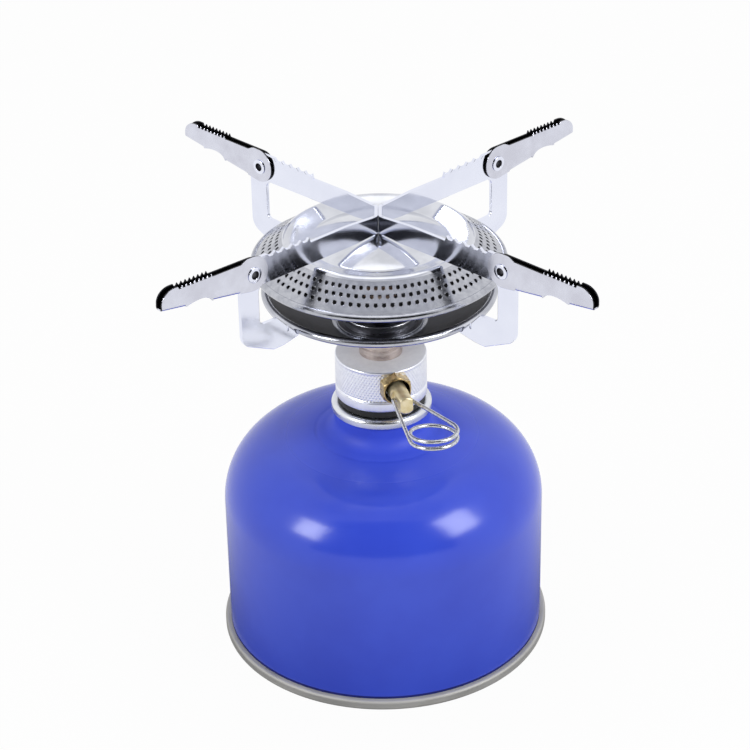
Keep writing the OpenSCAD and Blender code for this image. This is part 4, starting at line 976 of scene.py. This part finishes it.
def soft_box(name, bearing, height_angle, distance, width, height, power):
    """A rectangular lamp at this bearing and height in degrees, aimed at the burner."""
    lamp = bpy.data.lights.new(name, "AREA")
    lamp.shape, lamp.size, lamp.size_y, lamp.energy = "RECTANGLE", width, height, power
    a, e = np.radians([bearing, height_angle])
    place = AIM + distance * Vector((np.cos(a) * np.cos(e), np.sin(a) * np.cos(e), np.sin(e)))
    turn = (place - AIM).to_track_quat("Z", "Y")
    thing = bpy.data.objects.new(name, lamp)
    thing.matrix_world = Matrix.Translation(place) @ turn.to_matrix().to_4x4()
    bpy.context.scene.collection.objects.link(thing)
    return thing


side_boxes = [soft_box("soft_box_left", -147, 28, 1.1, 0.36, 0.46, 5.0),
              soft_box("soft_box_right", -30, 33, 1.1, 0.44, 0.6, 7.0)]
soft_box("soft_box_top", 90, 78, 1.3, 0.9, 0.9, 1.5)

# The side lamps are kept off the burner cap, so it shows them only by way of the strips.
flagged = bpy.data.collections.new("flagged_cap")
flagged.objects.link(bpy.data.objects["burner_cap_pierced"])
flagged.collection_objects[0].light_linking.link_state = "EXCLUDE"
for box in side_boxes:
    box.light_linking.receiver_collection = flagged

# Black cloth hangs behind the camera and a grey one from the ceiling in front of the stove:
# only mirrors show them, as the dark and grey streaks in the steel.
cloth = mottled("black_cloth", "#0a0a0c", "#131316", 8, Roughness=0.95)
felt = mottled("grey_felt", "#d0d1d6", "#dadbe0", 8, Roughness=0.95,
               Emission_Color=colour("#d8dae0"), Emission_Strength=0.68)
screens = [card("black_screen", (0, -1.5, 1.7), (0, 1, 0), 3.6, 3.0, cloth),
           card("grey_ceiling", (0, -0.3, 1.7), (0, 0, -1), 1.9, 0.75, felt)]
for screen in screens:
    screen.visible_camera = screen.visible_diffuse = screen.visible_shadow = False

# The camera: a 120 mm lens, 0.87 m from the stove and 30 degrees above it.
CAMERA_PLACE, SENSOR, PICTURE_PX, FOCUS_PX = (0, -0.709, 0.5036), 36, 750, 2504.8
pitch, yaw, roll = np.radians([29.96, -0.163, -1.15])
ahead = np.array([np.sin(yaw) * np.cos(pitch), np.cos(yaw) * np.cos(pitch), -np.sin(pitch)])
right = np.array([np.cos(yaw), -np.sin(yaw), 0])
top = np.cross(right, ahead)
right, top = np.cos(roll) * right + np.sin(roll) * top, np.cos(roll) * top - np.sin(roll) * right
lens = bpy.data.cameras.new("camera")
lens.lens, lens.sensor_width = FOCUS_PX / PICTURE_PX * SENSOR, SENSOR
lens.clip_start, lens.clip_end = 0.05, 20
camera = bpy.data.objects.new("camera", lens)
turn = np.eye(4)
turn[:3] = np.stack([right, top, -ahead, CAMERA_PLACE], -1)
camera.matrix_world = Matrix(turn.tolist())
bpy.context.scene.collection.objects.link(camera)
bpy.context.scene.camera = camera
bpy.context.scene.view_settings.view_transform = "Standard"
